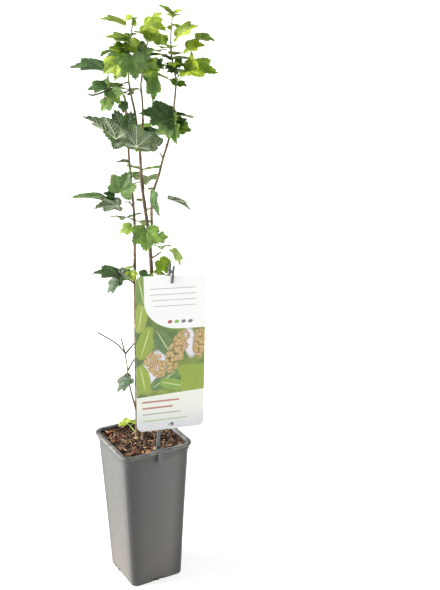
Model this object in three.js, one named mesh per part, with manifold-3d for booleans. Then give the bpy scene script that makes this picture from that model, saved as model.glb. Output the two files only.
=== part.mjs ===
import * as THREE from 'three';
import { mergeVertices } from 'three/addons/utils/BufferGeometryUtils.js';
import Module from 'manifold-3d';

// A white currant bush in a tall square nursery pot, in millimetres, +Z up.
// The origin is the middle of the pot's flat underside and the pot's walls lie along X and Y.
// The plant is laid out in its own turned frame: x runs along the card's width, y away from its face.

const potHeight = 240;
const rimHalfWidth = 59.5;
const baseHalfWidth = 44;
const wallThickness = 2;
const collarHeight = 11;
const collarReach = 1.9;
const lipHeight = 4.5;
const lipReach = 2.8;
const potCorner = 9;
const rimRound = 1.5;
const footRound = 2;
const floorThickness = 3;
const drainWidth = 20;
const drainHeight = 5;
const drainOffset = 17;

const soilDepth = 5;
const soilUnevenness = 1.4;
const levelRadius = 26;
const roughRadius = 38;
const stemFoot = potHeight - soilDepth;

const plantTurn = -29.5;
const fitGap = 0.3;
const soilLevel = stemFoot - fitGap;
const flareFade = 9;
const stemSides = 8;
const boughSides = 6;
const shootSides = 4;
const stalkSides = 3;

const cardWidth = 102;
const cardBottom = 278;
const cardTop = 523;
const cardThickness = 0.8;
const cardCorner = 9;
const cardAway = -50;
const cardMiddleLow = 45.5;
const cardMiddleHigh = 49.5;
const cardTurnLow = 14;
const cardTurnHigh = 6;
const cardHoleRadius = 2.2;
const pegHoleHeight = 515;
const pegAside = 2;
const lowHoleHeight = 286;

const stripWidth = 5;
const stripThickness = 2.4;
const stripTaper = 1.5;
const stripTop = 541;
const jawWidth = 3.4;
const bridgeWidth = 4;
const bridgeRise = 4;
const stripAside = -0.5;
const jawAside = 4.5;
const bridgeAside = 1.5;
const clipWidth = 9;
const clipThickness = 1.6;
const clipDrop = 25;

const smallestEdge = 0.05;
const pegRadius = cardHoleRadius - fitGap - 0.2;

const wasm = await Module();
wasm.setup();

const colours = {
  pot: 0x77787a,
  soil: 0x4a3324,
  bark: 0x6b5644,
  leaf: 0x4f7a35,
  youngLeaf: 0x93b945,
  card: 0xe9ece6,
  holder: 0x6c6f72,
};

const part = new THREE.Group();
const plantClearances = [];

function degrees(angle) {
  return THREE.MathUtils.degToRad(angle);
}

// A small repeatable random stream, so that the plant grows the same each time.
function randomStream(seed) {
  let state = seed;
  return () => {
    state = (state * 1664525 + 1013904223) % 4294967296;
    return state / 4294967296;
  };
}

function addPart(name, geometry, colour, roughness = 0.7, turn = 0) {
  const material = new THREE.MeshStandardMaterial({ color: colour, roughness, metalness: 0 });
  const mesh = new THREE.Mesh(geometry, material);
  mesh.name = name;
  geometry.rotateZ(degrees(turn));
  part.add(mesh);
}

function geometryFrom(corners, triangles) {
  const geometry = new THREE.BufferGeometry();
  geometry.setAttribute('position', new THREE.Float32BufferAttribute(corners.flat(), 3));
  geometry.setIndex(triangles.flat());
  return geometry;
}

// Skin over a row of rings with equal counts, closed by a fan at each end.
// A small ring's fan starts at its first corner, a large one's at its middle.
function loft(rings) {
  const count = rings[0].length;
  const corners = rings.flat();
  const triangles = [];
  for (let row = 0; row + 1 < rings.length; row += 1) {
    for (let step = 0; step < count; step += 1) {
      const here = row * count + step;
      const next = row * count + (step + 1) % count;
      triangles.push([here, next, next + count], [here, next + count, here + count]);
    }
  }
  for (const [row, forward] of [[0, false], [rings.length - 1, true]]) {
    let hub = row * count;
    if (count > stemSides) {
      hub = corners.length;
      const middle = [0, 1, 2].map((axis) => rings[row].reduce((sum, corner) => sum + corner[axis], 0));
      corners.push(middle.map((sum) => sum / count));
    }
    for (let step = 0; step < count; step += 1) {
      const here = row * count + step;
      const next = row * count + (step + 1) % count;
      if (here !== hub && next !== hub) {
        triangles.push(forward ? [hub, here, next] : [hub, next, here]);
      }
    }
  }
  return geometryFrom(corners, triangles);
}

function toSolid(geometry) {
  geometry.deleteAttribute('normal');
  geometry.deleteAttribute('uv');
  const merged = mergeVertices(geometry, 1e-5);
  return new wasm.Manifold(new wasm.Mesh({
    numProp: 3,
    vertProperties: Float32Array.from(merged.attributes.position.array),
    triVerts: Uint32Array.from(merged.index.array),
  }));
}

// The largest connected piece of a solid; scraps that a cut leaves behind are dropped.
function toGeometry(solid) {
  const pieces = solid.decompose();
  const largest = pieces.reduce((best, piece) => (piece.volume() > best.volume() ? piece : best));
  const mesh = largest.simplify(smallestEdge).getMesh();
  const geometry = new THREE.BufferGeometry();
  geometry.setAttribute('position', new THREE.Float32BufferAttribute(mesh.vertProperties, 3));
  geometry.setIndex(Array.from(mesh.triVerts));
  return geometry;
}

function joined(solids) {
  return solids.reduce((whole, solid) => whole.add(solid));
}

function boxBetween(low, high) {
  const geometry = new THREE.BoxGeometry(high[0] - low[0], high[1] - low[1], high[2] - low[2]);
  geometry.translate((low[0] + high[0]) / 2, (low[1] + high[1]) / 2, (low[2] + high[2]) / 2);
  return geometry;
}

// The pot

function squareRing(half, corner, height, arcSteps = 3) {
  const ring = [];
  for (let side = 0; side < 4; side += 1) {
    const signX = side === 0 || side === 3 ? 1 : -1;
    const signY = side < 2 ? 1 : -1;
    for (let step = 0; step <= arcSteps; step += 1) {
      const angle = (side + step / arcSteps) * Math.PI / 2;
      const x = signX * (half - corner) + corner * Math.cos(angle);
      const y = signY * (half - corner) + corner * Math.sin(angle);
      ring.push([x, y, height]);
    }
  }
  return ring;
}

const collarHalf = rimHalfWidth - lipReach;
const wallTopHalf = collarHalf - collarReach;
const wallTopHeight = potHeight - collarHeight;

function outerHalf(height) {
  return baseHalfWidth + (wallTopHalf - baseHalfWidth) * height / wallTopHeight;
}

// The wall's inner face runs straight from the floor to just under the rim's rounded top.
const floorHalf = outerHalf(floorThickness) - wallThickness;
const mouthHalf = wallTopHalf - wallThickness;

function innerShare(height) {
  return (height - floorThickness) / (potHeight - rimRound - floorThickness);
}

function innerHalf(height) {
  return floorHalf + (mouthHalf - floorHalf) * innerShare(height);
}

function innerCorner(height) {
  return potCorner - 2 + 2 * innerShare(height);
}

function makePot() {
  const outside = [
    squareRing(baseHalfWidth - footRound, potCorner - footRound, 0),
    squareRing(outerHalf(footRound), potCorner, footRound),
    squareRing(wallTopHalf, potCorner + 1, wallTopHeight),
    squareRing(collarHalf, potCorner + 3, wallTopHeight + 1),
    squareRing(collarHalf, potCorner + 3, potHeight - lipHeight - 1),
    squareRing(rimHalfWidth, potCorner + 5, potHeight - lipHeight),
    squareRing(rimHalfWidth, potCorner + 5, potHeight - rimRound),
    squareRing(rimHalfWidth - rimRound, potCorner + 4, potHeight),
  ];
  const inside = [
    squareRing(mouthHalf + rimRound / 2, potCorner, potHeight),
    squareRing(mouthHalf, potCorner, potHeight - rimRound),
    squareRing(floorHalf, potCorner - 2, floorThickness),
  ];
  let pot = toSolid(loft([...outside, ...inside]));
  const reach = baseHalfWidth + 5;
  const depth = 9;
  for (let side = 0; side < 4; side += 1) {
    const shift = side % 2 === 0 ? 0 : -drainOffset;
    const low = [shift - drainWidth / 2, -reach, -1];
    const high = [shift + drainWidth / 2, depth - reach, drainHeight];
    const drain = boxBetween(low, high);
    drain.rotateZ(side * Math.PI / 2);
    pot = pot.subtract(toSolid(drain));
  }
  return toGeometry(pot);
}

addPart('pot', makePot(), colours.pot, 0.55);

// The soil: a tapered block that fills the pot, level round the stems and rough towards the walls

function soilHeight(x, y) {
  const fromMiddle = Math.hypot(x, y);
  const rough = THREE.MathUtils.smoothstep(fromMiddle, levelRadius, roughRadius);
  const waves = Math.sin(x * 0.21 + 1.3) * Math.cos(y * 0.17) + 0.5 * Math.sin(x * 0.09 - y * 0.31);
  return soilLevel + rough * soilUnevenness * (waves - 0.4);
}

function makeSoil() {
  const soilFoot = floorThickness + fitGap;
  const shoulder = soilLevel - 4;
  const edge = innerHalf(shoulder) - fitGap;
  const rings = [
    squareRing(innerHalf(soilFoot) - fitGap, innerCorner(soilFoot) - fitGap, soilFoot),
    squareRing(edge, innerCorner(shoulder) - fitGap, shoulder),
  ];
  for (const share of [0.97, 0.81, 0.58]) {
    const ring = squareRing(edge * share, potCorner * share, 0);
    rings.push(ring.map(([x, y]) => [x, y, soilHeight(x, y)]));
  }
  return loft(rings);
}

addPart('soil', makeSoil(), colours.soil, 0.95);

// Stems and boughs: each is one tapering limb along a smooth curve

function curveThrough(points) {
  const spots = points.map(([x, y, z]) => new THREE.Vector3(x, y, z));
  return new THREE.CatmullRomCurve3(spots, false, 'centripetal');
}

function limbSolid(points, options) {
  const { thick, thin, sides, steps, flare = 0, extra = 0, foot = false } = options;
  const curve = curveThrough(points);
  const length = curve.getLength();
  const frames = curve.computeFrenetFrames(steps, false);
  const rings = [];
  for (let step = 0; step <= steps; step += 1) {
    const share = step / steps;
    const middle = curve.getPointAt(share);
    const swell = flare * Math.exp(-share * length / flareFade);
    const radius = thick + (thin - thick) * share + swell + extra;
    const ring = [];
    for (let side = 0; side < sides; side += 1) {
      const angle = side * 2 * Math.PI / sides;
      const spot = middle.clone();
      spot.addScaledVector(frames.normals[step], radius * Math.cos(angle));
      spot.addScaledVector(frames.binormals[step], radius * Math.sin(angle));
      ring.push([spot.x, spot.y, step === 0 && foot ? middle.z : spot.z]);
    }
    rings.push(ring);
  }
  return toSolid(loft(rings));
}

// A limb grown by the fit gap all round and at its free ends, to cut its neighbours clear of it.
function limbClearance(limb) {
  const points = limb.points.map((spot) => [...spot]);
  const last = points.length - 1;
  for (const [end, inner] of [[0, 1], [last, last - 1]]) {
    const outward = points[end].map((value, axis) => value - points[inner][axis]);
    const length = Math.hypot(...outward);
    points[end] = points[end].map((value, axis) => value + outward[axis] * fitGap * 1.2 / length);
  }
  return limbSolid(points, { ...limb, extra: fitGap * 1.15, foot: false });
}

const limbs = {
  stem_main: {
    points: [[2, 0, stemFoot], [4, 0, 262], [9, 0, 340], [16, 0, 440], [19, 0, 507],
      [16, 0, 569], [8, 0, 644], [6, 0, 696], [3, 0, 730]],
    thick: 4, thin: 1.9, flare: 2.4, foot: true, sides: stemSides, steps: 15,
  },
  stem_left: {
    points: [[-9, 6, stemFoot], [-9, 6, 262], [-8, 5, 340], [-7, 5, 440], [-6, 5, 520],
      [-5, 5, 598], [-9, 5, 660], [-11, 5, 710], [-13, 5, 768]],
    thick: 3, thin: 1.4, flare: 2, foot: true, sides: stemSides, steps: 15,
  },
  bough_right: {
    points: [[17, 0, 543], [20, 6, 570], [22, 8, 625], [32, 5, 657], [39, 3, 683],
      [46, 0, 705], [52, 0, 730], [56, 0, 760], [59, 0, 788]],
    thick: 2.1, thin: 1.3, sides: boughSides, steps: 13,
  },
  bough_crown_left: {
    points: [[3, 0, 730], [0, -2, 754], [-4, -3, 775], [-7, -3, 795]],
    thick: 1.8, thin: 1.3, sides: boughSides, steps: 7,
  },
  bough_crown_middle: {
    points: [[5, 0, 712], [10, 5, 728], [11, 9, 755], [9, 9, 788]],
    thick: 1.6, thin: 1.2, sides: boughSides, steps: 7,
  },
  bough_low: {
    points: [[-9, 6, 274], [-11, 0, 290], [-15, -2, 309], [-18, -2, 325]],
    thick: 1.5, thin: 1.2, sides: boughSides, steps: 6,
  },
};

for (const [name, limb] of Object.entries(limbs)) {
  const whole = limbSolid(limb.points, limb);
  const cleared = plantClearances.reduce((solid, other) => solid.subtract(other), whole);
  plantClearances.push(limbClearance(limb));
  addPart(name, toGeometry(cleared), colours.bark, 0.85, plantTurn);
}

// Leaves: a five-lobed blade with a heart-shaped foot, folded along its middle rib and curled at the tips.
// Half an outline, from tip to foot: the angle from the middle rib and the reach as a share of the length.

const halfBlade = [[0, 1], [21, 0.76], [41, 0.87], [56, 0.75], [73, 0.59], [97, 0.59], [130, 0.29]];
const halfYoungBlade = [[0, 1], [27, 0.75], [54, 0.86], [80, 0.63], [112, 0.42]];
const youngBladeLength = 24;
const bladeHub = 0.3;
const bladeFold = 0.3;
const bladeCurl = 0.2;
const bladeThickness = 0.014;
const leastThickness = 0.5;
const stalkThick = 0.95;
const stalkThin = 0.6;
const stalkArch = 0.1;
const stalkBend = 0.55;
const notchDepth = 1.5;

function heading([bearing, rise, length]) {
  const flat = Math.cos(degrees(rise)) * length;
  const x = flat * Math.cos(degrees(bearing));
  const y = flat * Math.sin(degrees(bearing));
  return new THREE.Vector3(x, y, Math.sin(degrees(rise)) * length);
}

// The blade's outline, from the left of its notch round the tip to the right of the notch.
function bladeOutline(length) {
  const half = length < youngBladeLength ? halfYoungBlade : halfBlade;
  const shape = half.map(([angle, reach]) => {
    const along = reach * length * Math.cos(degrees(angle));
    const aside = reach * length * Math.sin(degrees(angle));
    return [along, aside];
  });
  const notch = [-notchDepth, stalkThin];
  const right = [...shape.slice(1), notch].map(([along, aside]) => [along, -aside]);
  return [...right.reverse(), ...shape, notch];
}

function squareSection(middle, side, upward, radius) {
  return [[1, 1], [-1, 1], [-1, -1], [1, -1]].map(([aside, above]) => (
    middle.clone().addScaledVector(side, aside * radius).addScaledVector(upward, above * radius).toArray()));
}

// One leaf: a blade with thickness whose notch opens straight into its stalk, which starts inside the shoot.
function leafSolid(node, leaf) {
  const length = leaf.blade[2];
  const foot = node.clone().add(heading(leaf.stalk));
  const rib = heading(leaf.blade).normalize();
  const up = heading([...(leaf.face ?? [0, 90]), 1]);
  up.addScaledVector(rib, -up.dot(rib)).normalize();
  const across = new THREE.Vector3().crossVectors(up, rib);
  const half = Math.max(leastThickness, bladeThickness * length) / 2;
  const outline = bladeOutline(length);
  const corners = [];
  for (const side of [half, -half]) {
    for (const [along, aside] of [[bladeHub * length, 0], ...outline]) {
      const height = bladeFold * Math.abs(aside) - bladeCurl * (along * along + aside * aside) / length;
      const spot = foot.clone().addScaledVector(rib, along).addScaledVector(across, aside);
      corners.push(spot.addScaledVector(up, height + side).toArray());
    }
  }
  const count = outline.length;
  const under = count + 1;
  const triangles = [];
  for (let step = 0; step < count; step += 1) {
    const here = 1 + step;
    const next = 1 + (step + 1) % count;
    triangles.push([0, here, next], [under, under + next, under + here]);
    if (step < count - 1) {
      triangles.push([here, under + here, under + next], [here, under + next, next]);
    }
  }
  const reach = heading(leaf.stalk);
  const bend = node.clone().addScaledVector(reach, stalkBend);
  bend.z += leaf.stalk[2] * stalkArch;
  const sections = [[node, bend.clone().sub(node)], [bend, foot.clone().sub(bend)]];
  const start = corners.length;
  for (const [spot, toward] of sections) {
    const ahead = toward.clone().normalize();
    const side = across.clone().addScaledVector(ahead, -across.dot(ahead)).normalize();
    const above = new THREE.Vector3().crossVectors(ahead, side);
    corners.push(...squareSection(spot, side, above, stalkThick / 2));
  }
  const notch = [count, 1, under + 1, under + count];
  const rings = [0, 4].map((offset) => [0, 1, 2, 3].map((corner) => start + offset + corner));
  rings.push(notch);
  triangles.push([start, start + 2, start + 1], [start, start + 3, start + 2]);
  for (const row of [0, 1]) {
    for (const corner of [0, 1, 2, 3]) {
      const [here, next] = [rings[row][corner], rings[row][(corner + 1) % 4]];
      const [above, beyond] = [rings[row + 1][corner], rings[row + 1][(corner + 1) % 4]];
      triangles.push([here, next, beyond], [here, beyond, above]);
    }
  }
  return toSolid(geometryFrom(corners, triangles));
}

// A bare side twig that ends in a bud.
function twigSolid(node, leaf) {
  const foot = node.clone().add(heading(leaf.stalk));
  const tip = foot.clone().add(heading(leaf.blade));
  const path = [node, foot, tip].map((spot) => spot.toArray());
  return limbSolid(path, { thick: stalkThick, thin: stalkThin, sides: stalkSides, steps: 3 });
}

// Extra leaves that fill the far side of a mass, fanned between two bearings by its seeded rule.
function fanLeaves({ count, at, bearing, stalk, blade, seed }) {
  const random = randomStream(seed);
  const leaves = [];
  for (let index = 0; index < count; index += 1) {
    const share = count > 1 ? index / (count - 1) : 0.5;
    const turn = bearing[0] + (bearing[1] - bearing[0]) * share + 16 * (random() - 0.5);
    const size = 0.85 + 0.3 * random();
    leaves.push({
      at: at[0] + (at[1] - at[0]) * ((index * 0.618) % 1),
      stalk: [turn, 30 + 25 * random(), stalk * size],
      blade: [turn + 30 * (random() - 0.5), 15 - 35 * random(), blade * size],
    });
  }
  return leaves;
}

const front = [270, 15];
const frontRight = [310, 20];
const leaning = [270, 77];

// Each mass has the shoot that carries it, its leading leaves and the fan that fills it.
// at is a share of the shoot's length; stalk and blade are a bearing, a rise and a length.
const masses = {
  foliage_top_right: {
    points: [[59, 0, 787], [58, 0, 803], [55, 0, 818], [53, 0, 836], [53, 0, 860], [55, 0, 881]],
    thick: 1.3, thin: 0.9, young: true,
    leaves: [
      { at: 0.95, stalk: [180, 87, 7], blade: [181, 49, 23], face: [280, 86] },
      { at: 0.98, stalk: [0, 82, 4], blade: [359, 38, 18], face: [260, 86] },
      { at: 0.53, stalk: [321, 58, 24], blade: [347, 36, 32], face: [290, 70] },
      { at: 0.8, stalk: [273, 76, 4], blade: [195, 27, 7], face: [270, 60] },
      { at: 0.4, stalk: [227, 47, 32], blade: [96, 53, 16], face: [270, 75] },
      { at: 0.03, stalk: [349, 64, 71], blade: [358, 3, 24], face: [275, 78] },
      { at: 0.05, stalk: [325, 67, 54], blade: [345, 17, 24], face: [290, 58] },
      { at: 0.05, stalk: [331, 37, 42], blade: [209, 59, 22], face: [208, 24] },
      { at: 0, stalk: [329, 50, 30], blade: [345, 6, 42], face: [270, 71] },
      { at: 0.4, stalk: [250, -10, 4], blade: [197, 35, 14], face: [270, 80] },
      { at: 0.4, stalk: [311, 7, 5], blade: [1, 10, 23], face: [90, 82] },
      { at: 0.22, stalk: [257, 25, 6], blade: [202, -8, 10], face: [270, 60] },
      { at: 0.04, stalk: [302, -1, 6], blade: [344, -2, 13], face: [270, 72] },
      { at: 0.08, stalk: [260, -32, 6], blade: [203, 44, 10], face: [270, 60] },
      { at: 0.2, stalk: [299, 2, 7], blade: [212, 75, 15], face: [205, 15] },
      { at: 0.13, stalk: [246, 62, 19], blade: [202, -6, 11], face: [270, 50] },
      { at: 0.3, stalk: [328, 47, 6], blade: [354, -11, 13], face: [270, 55] },
      { at: 0.97, stalk: [80, 50, 6], blade: [80, 8, 16] },
    ],
    fan: { count: 4, at: [0.1, 0.5], bearing: [40, 110], stalk: 15, blade: 24, seed: 11 },
  },
  foliage_right_middle: {
    points: [[52, 0, 731], [53, -5, 735], [55, -8, 740]],
    thick: 1.2, thin: 0.9,
    leaves: [
      { at: 0.78, stalk: [239, 30, 10], blade: [192, 24, 41], face: [270, 60] },
      { at: 0.4, stalk: [263, 17, 8], blade: [205, -31, 25], face: [285, 30] },
      { at: 1, stalk: [293, -50, 3], blade: [315, 82, 16], face: [205, 10] },
      { at: 0.62, stalk: [340, -6, 9], blade: [350, 38, 14], face: [270, 55] },
      { at: 0.88, stalk: [331, -42, 13], blade: [347, -5, 18], face: [285, 50] },
      { at: 0.52, stalk: [295, -10, 12], blade: [250, -72, 24], face: [215, 12] },
    ],
    fan: { count: 3, at: [0.2, 0.5], bearing: [40, 115], stalk: 18, blade: 27, seed: 23 },
  },
  foliage_right_low: {
    points: [[39, 3, 682], [37, 1, 687], [35, -1, 691]],
    thick: 1.1, thin: 0.8,
    leaves: [
      { at: 1, stalk: [212, 65, 13], blade: [179, 37, 25], face: [95, 35] },
    ],
  },
  foliage_crown_left: {
    points: [[-7, -3, 794], [-6, -4, 824], [-4, -4, 841], [-2, -2, 857], [1, 0, 877]],
    thick: 1.3, thin: 0.8, young: true,
    leaves: [
      { at: 0.62, stalk: [183, 69, 28], blade: [188, 25, 32], face: [270, 86] },
      { at: 1, stalk: [180, 61, 5], blade: [195, -15, 11], face: [260, 70] },
      { at: 0.62, stalk: [354, 49, 34], blade: [343, -1, 29], face: [285, 62] },
      { at: 0.98, stalk: [336, 37, 3], blade: [293, -76, 9], face: [215, 15] },
      { at: 0.5, stalk: [272, 72, 12], blade: [192, 27, 34], face: [275, 82] },
      { at: 0.55, stalk: [274, 66, 10], blade: [318, -44, 18], face: [270, 42] },
      { at: 0.42, stalk: [256, 19, 11], blade: [202, -3, 30], face: [270, 50] },
      { at: 0.35, stalk: [265, 46, 12], blade: [220, -41, 16], face: [250, 40] },
      { at: 0.3, stalk: [240, 7, 28], blade: [207, -25, 23], face: [265, 40] },
      { at: 0.2, stalk: [251, 17, 23], blade: [213, -50, 20], face: [255, 28] },
      { at: 0.46, stalk: [235, 24, 12], blade: [208, 21, 20], face: [270, 52] },
      { at: 1, stalk: [60, 30, 3], blade: [70, 20, 8] },
    ],
    fan: { count: 5, at: [0.15, 0.6], bearing: [85, 145], stalk: 18, blade: 27, seed: 31 },
  },
  foliage_crown_middle: {
    points: [[9, 9, 787], [13, 9, 812], [17, 8, 832], [20, 8, 848]],
    thick: 1.2, thin: 0.8, young: true,
    leaves: [
      { at: 0.95, stalk: [297, 42, 14], blade: [194, 37, 16], face: [270, 62] },
      { at: 0.98, stalk: [322, 21, 14], blade: [53, 62, 15], face: [270, 60] },
      { at: 0.8, stalk: [25, 72, 45], blade: [7, 42, 12], face: [270, 70] },
      { at: 0.62, stalk: [258, 14, 19], blade: [349, 36, 21], face: [270, 50] },
      { at: 0.32, stalk: [254, 32, 48], blade: [297, -65, 30], face: [280, 20] },
      { at: 0.3, stalk: [276, 22, 34], blade: [338, -5, 24], face: [285, 38] },
      { at: 0.3, stalk: [315, 21, 32], blade: [333, 51, 14], face: [270, 45] },
      { at: 0.1, stalk: [298, 16, 27], blade: [319, -66, 32], face: [332, 12] },
      { at: 0.55, stalk: [254, 70, 17], blade: [186, 49, 16], face: [270, 58] },
      { at: 0.98, stalk: [130, 60, 12], blade: [130, 15, 18] },
      { at: 0.4, stalk: [10, 0, 13], blade: [15, 15, 19] },
    ],
    fan: { count: 4, at: [0.05, 0.6], bearing: [25, 70], stalk: 20, blade: 27, seed: 47 },
  },
  foliage_left_side: {
    points: [[-13, 5, 767], [-17, 2, 776], [-26, 0, 781], [-35, -2, 785]],
    thick: 1.4, thin: 0.8,
    leaves: [
      { at: 0.12, stalk: [163, 52, 45], blade: [188, 15, 51], face: [270, 84] },
      { at: 1, stalk: [219, 14, 6], blade: [194, 3, 25], face: [270, 66] },
      { at: 0.96, stalk: [229, 47, 4], blade: [157, 85, 15], face: [205, 15] },
      { at: 0.84, stalk: [210, -12, 31], blade: [176, 20, 9], face: [90, 75] },
      { at: 0.91, stalk: [251, 4, 9], blade: [196, -56, 16], face: [190, 10] },
      { at: 0.75, stalk: [268, 3, 16], blade: [322, -55, 20], face: [235, 26] },
      { at: 0.66, stalk: [238, -45, 20], blade: [206, -35, 18], face: [250, 42] },
      { at: 0.2, stalk: [279, -30, 15], blade: [235, -67, 14], face: [235, 20] },
    ],
    fan: { count: 3, at: [0.1, 0.5], bearing: [80, 140], stalk: 20, blade: 28, seed: 53 },
  },
  foliage_big_pair: {
    points: [[-9, 5, 663], [-8, -2, 667], [-7, -6, 671]],
    thick: 1.4, thin: 1.1,
    leaves: [
      { at: 1, stalk: [259, 74, 48], blade: [173, 62, 43], face: [128, 10] },
      { at: 0.88, stalk: [233, 59, 56], blade: [180, 46, 54], face: [45, 48] },
      { at: 0.76, stalk: [293, 52, 49], blade: [289, 77, 38], face: [78, -12] },
      { at: 0.8, stalk: [200, 65, 11], blade: [190, 12, 17], face: [90, 70] },
    ],
  },
  foliage_back_upper: {
    points: [[6, 1, 690], [4, 8, 696], [1, 14, 703]],
    thick: 1.3, thin: 0.9,
    leaves: [
      { at: 1, stalk: [100, 45, 24], blade: [95, 5, 40] },
      { at: 0.8, stalk: [40, 35, 26], blade: [35, -5, 38] },
      { at: 0.9, stalk: [130, 42, 28], blade: [128, 0, 32] },
    ],
    fan: { count: 2, at: [0.4, 1], bearing: [45, 100], stalk: 14, blade: 24, seed: 67 },
  },
  foliage_middle_left: {
    points: [[-6, 5, 610], [-8, -1, 615], [-10, -4, 620]],
    thick: 1.3, thin: 1,
    leaves: [
      { at: 1, stalk: [241, 42, 31], blade: [325, 65, 32], face: [265, 24] },
      { at: 0.8, stalk: [186, 7, 34], blade: [186, 20, 51], face: [90, 79] },
      { at: 1, stalk: [206, -12, 19], blade: [175, 5, 33], face: [75, 42] },
      { at: 0.7, stalk: [184, 23, 28], blade: [194, 35, 15], face: [270, 70] },
    ],
  },
  foliage_middle_right: {
    points: [[12, 0, 607], [19, -3, 610], [26, -2, 614]],
    thick: 1.3, thin: 0.9,
    leaves: [
      { at: 0.9, stalk: [287, 56, 26], blade: [258, -79, 32], face: [200, 8] },
      { at: 1, stalk: [355, 21, 25], blade: [358, -16, 33], face: [40, 52] },
    ],
  },
  foliage_back_middle: {
    points: [[9, 0, 632], [10, 8, 637], [9, 14, 643]],
    thick: 1.3, thin: 0.9,
    leaves: [
      { at: 1, stalk: [95, 40, 24], blade: [90, -5, 42] },
      { at: 0.8, stalk: [145, 25, 22], blade: [150, -10, 34] },
      { at: 0.9, stalk: [75, 20, 20], blade: [100, -25, 30] },
    ],
  },
  foliage_front: {
    points: [[16, 0, 567], [16, -6, 571], [16, -10, 575]],
    thick: 1.3, thin: 1,
    leaves: [
      { at: 0.9, stalk: [262, 37, 19], blade: [269, -65, 32], face: front },
      { at: 0.7, stalk: [345, -14, 18], blade: [341, 16, 13], face: [270, 35] },
    ],
  },
  foliage_back_lower: {
    points: [[-5, 5, 566], [-8, 11, 570], [-10, 15, 575]],
    thick: 1.3, thin: 0.9,
    leaves: [
      { at: 0.9, stalk: [245, 38, 3], blade: [193, -13, 18], face: [265, 60] },
      { at: 1, stalk: [110, 35, 20], blade: [110, -10, 36] },
      { at: 0.9, stalk: [60, 20, 20], blade: [75, -20, 28] },
    ],
  },
  foliage_low_right: {
    points: [[17, 0, 532], [24, 2, 535], [32, 4, 540]],
    thick: 1.3, thin: 0.9,
    leaves: [
      { at: 1, stalk: [354, 10, 19], blade: [355, -54, 24], face: [48, 40] },
      { at: 0.7, stalk: [80, 25, 18], blade: [85, -15, 26] },
    ],
  },
  foliage_low_left: {
    points: [[-6, 5, 490], [-12, 1, 497], [-18, -3, 501], [-26, -8, 501]],
    thick: 1.4, thin: 0.9,
    leaves: [
      { at: 1, stalk: [250, 49, 10], blade: [186, 20, 39], face: [270, 86] },
      { at: 0.98, stalk: [258, 10, 7], blade: [189, -34, 27], face: [205, 32] },
      { at: 0.4, stalk: [277, 58, 20], blade: [306, -56, 14], face: [260, 30] },
      { at: 0.9, stalk: [232, 53, 7], blade: [7, 38, 19], face: [270, 65] },
      { at: 0.6, stalk: [110, 30, 18], blade: [120, -10, 30] },
    ],
  },
  foliage_above_card: {
    points: [[19, 0, 500], [20, -6, 505], [21, -10, 510]],
    thick: 1.3, thin: 0.9,
    leaves: [
      { at: 1, stalk: [350, 63, 25], blade: [337, -46, 21], face: frontRight },
      { at: 0.8, stalk: [235, 30, 14], blade: [200, -35, 15], face: front },
      { at: 0.6, stalk: [20, 10, 12], blade: [60, -10, 22] },
    ],
  },
  foliage_low_shoot: {
    points: [[-18, -2, 324], [-20, -2, 340], [-21, -2, 356], [-24, -2, 382]],
    thick: 1.2, thin: 0.8,
    leaves: [
      { at: 0.08, stalk: [285, 60, 14], blade: [200, -30, 27], face: [214, 59] },
      { at: 1, stalk: [190, 52, 20], blade: [185, 35, 34], bare: true },
      { at: 0.98, stalk: [135, 70, 16], blade: [145, 70, 8], bare: true },
      { at: 0.96, stalk: [30, 42, 24], blade: [10, 40, 8], bare: true },
      { at: 0.48, stalk: [40, 52, 16], blade: [20, 50, 8], bare: true },
    ],
  },
  foliage_foot: {
    points: [[-9, 6, 239], [-16, 15, 243], [-22, 25, 244]],
    thick: 1.1, thin: 0.8,
    leaves: [
      { at: 1, stalk: [130, 10, 9], blade: [155, 0, 16], face: leaning },
      { at: 0.9, stalk: [60, 25, 8], blade: [60, 0, 13] },
    ],
  },
};

for (const [name, mass] of Object.entries(masses)) {
  const curve = curveThrough(mass.points);
  const steps = 2 * (mass.points.length - 1);
  const shoot = limbSolid(mass.points, { ...mass, sides: shootSides, steps });
  const leaves = [...mass.leaves, ...(mass.fan ? fanLeaves(mass.fan) : [])];
  const solids = leaves.map((leaf) => {
    const node = curve.getPointAt(leaf.at);
    return leaf.bare ? twigSolid(node, leaf) : leafSolid(node, leaf);
  });
  const whole = joined([shoot, ...solids]);
  const cleared = plantClearances.reduce((solid, other) => solid.subtract(other), whole);
  addPart(name, toGeometry(cleared), mass.young ? colours.youngLeaf : colours.leaf, 0.6, plantTurn);
}

// The card: a thin sheet with round corners, turned a little more at its foot than at its head

function cardTurn(height) {
  const share = (height - cardBottom) / (cardTop - cardBottom);
  return degrees(cardTurnLow + (cardTurnHigh - cardTurnLow) * share);
}

function cardMiddle(height) {
  return cardMiddleLow + (cardMiddleHigh - cardMiddleLow) * (height - cardBottom) / (cardTop - cardBottom);
}

// A place on the card's middle sheet, or off it by depth, at a distance right of the middle.
function onCard(aside, height, depth = 0) {
  const turn = cardTurn(height);
  const x = cardMiddle(height) + aside * Math.cos(turn) + depth * Math.sin(turn);
  const y = cardAway + aside * Math.sin(turn) - depth * Math.cos(turn);
  return [x, y, height];
}

function holePunch(aside, height, radius, length = 12) {
  const punch = new THREE.CylinderGeometry(radius, radius, length, 12);
  punch.rotateZ(cardTurn(height));
  punch.translate(...onCard(aside, height));
  return toSolid(punch);
}

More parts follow.
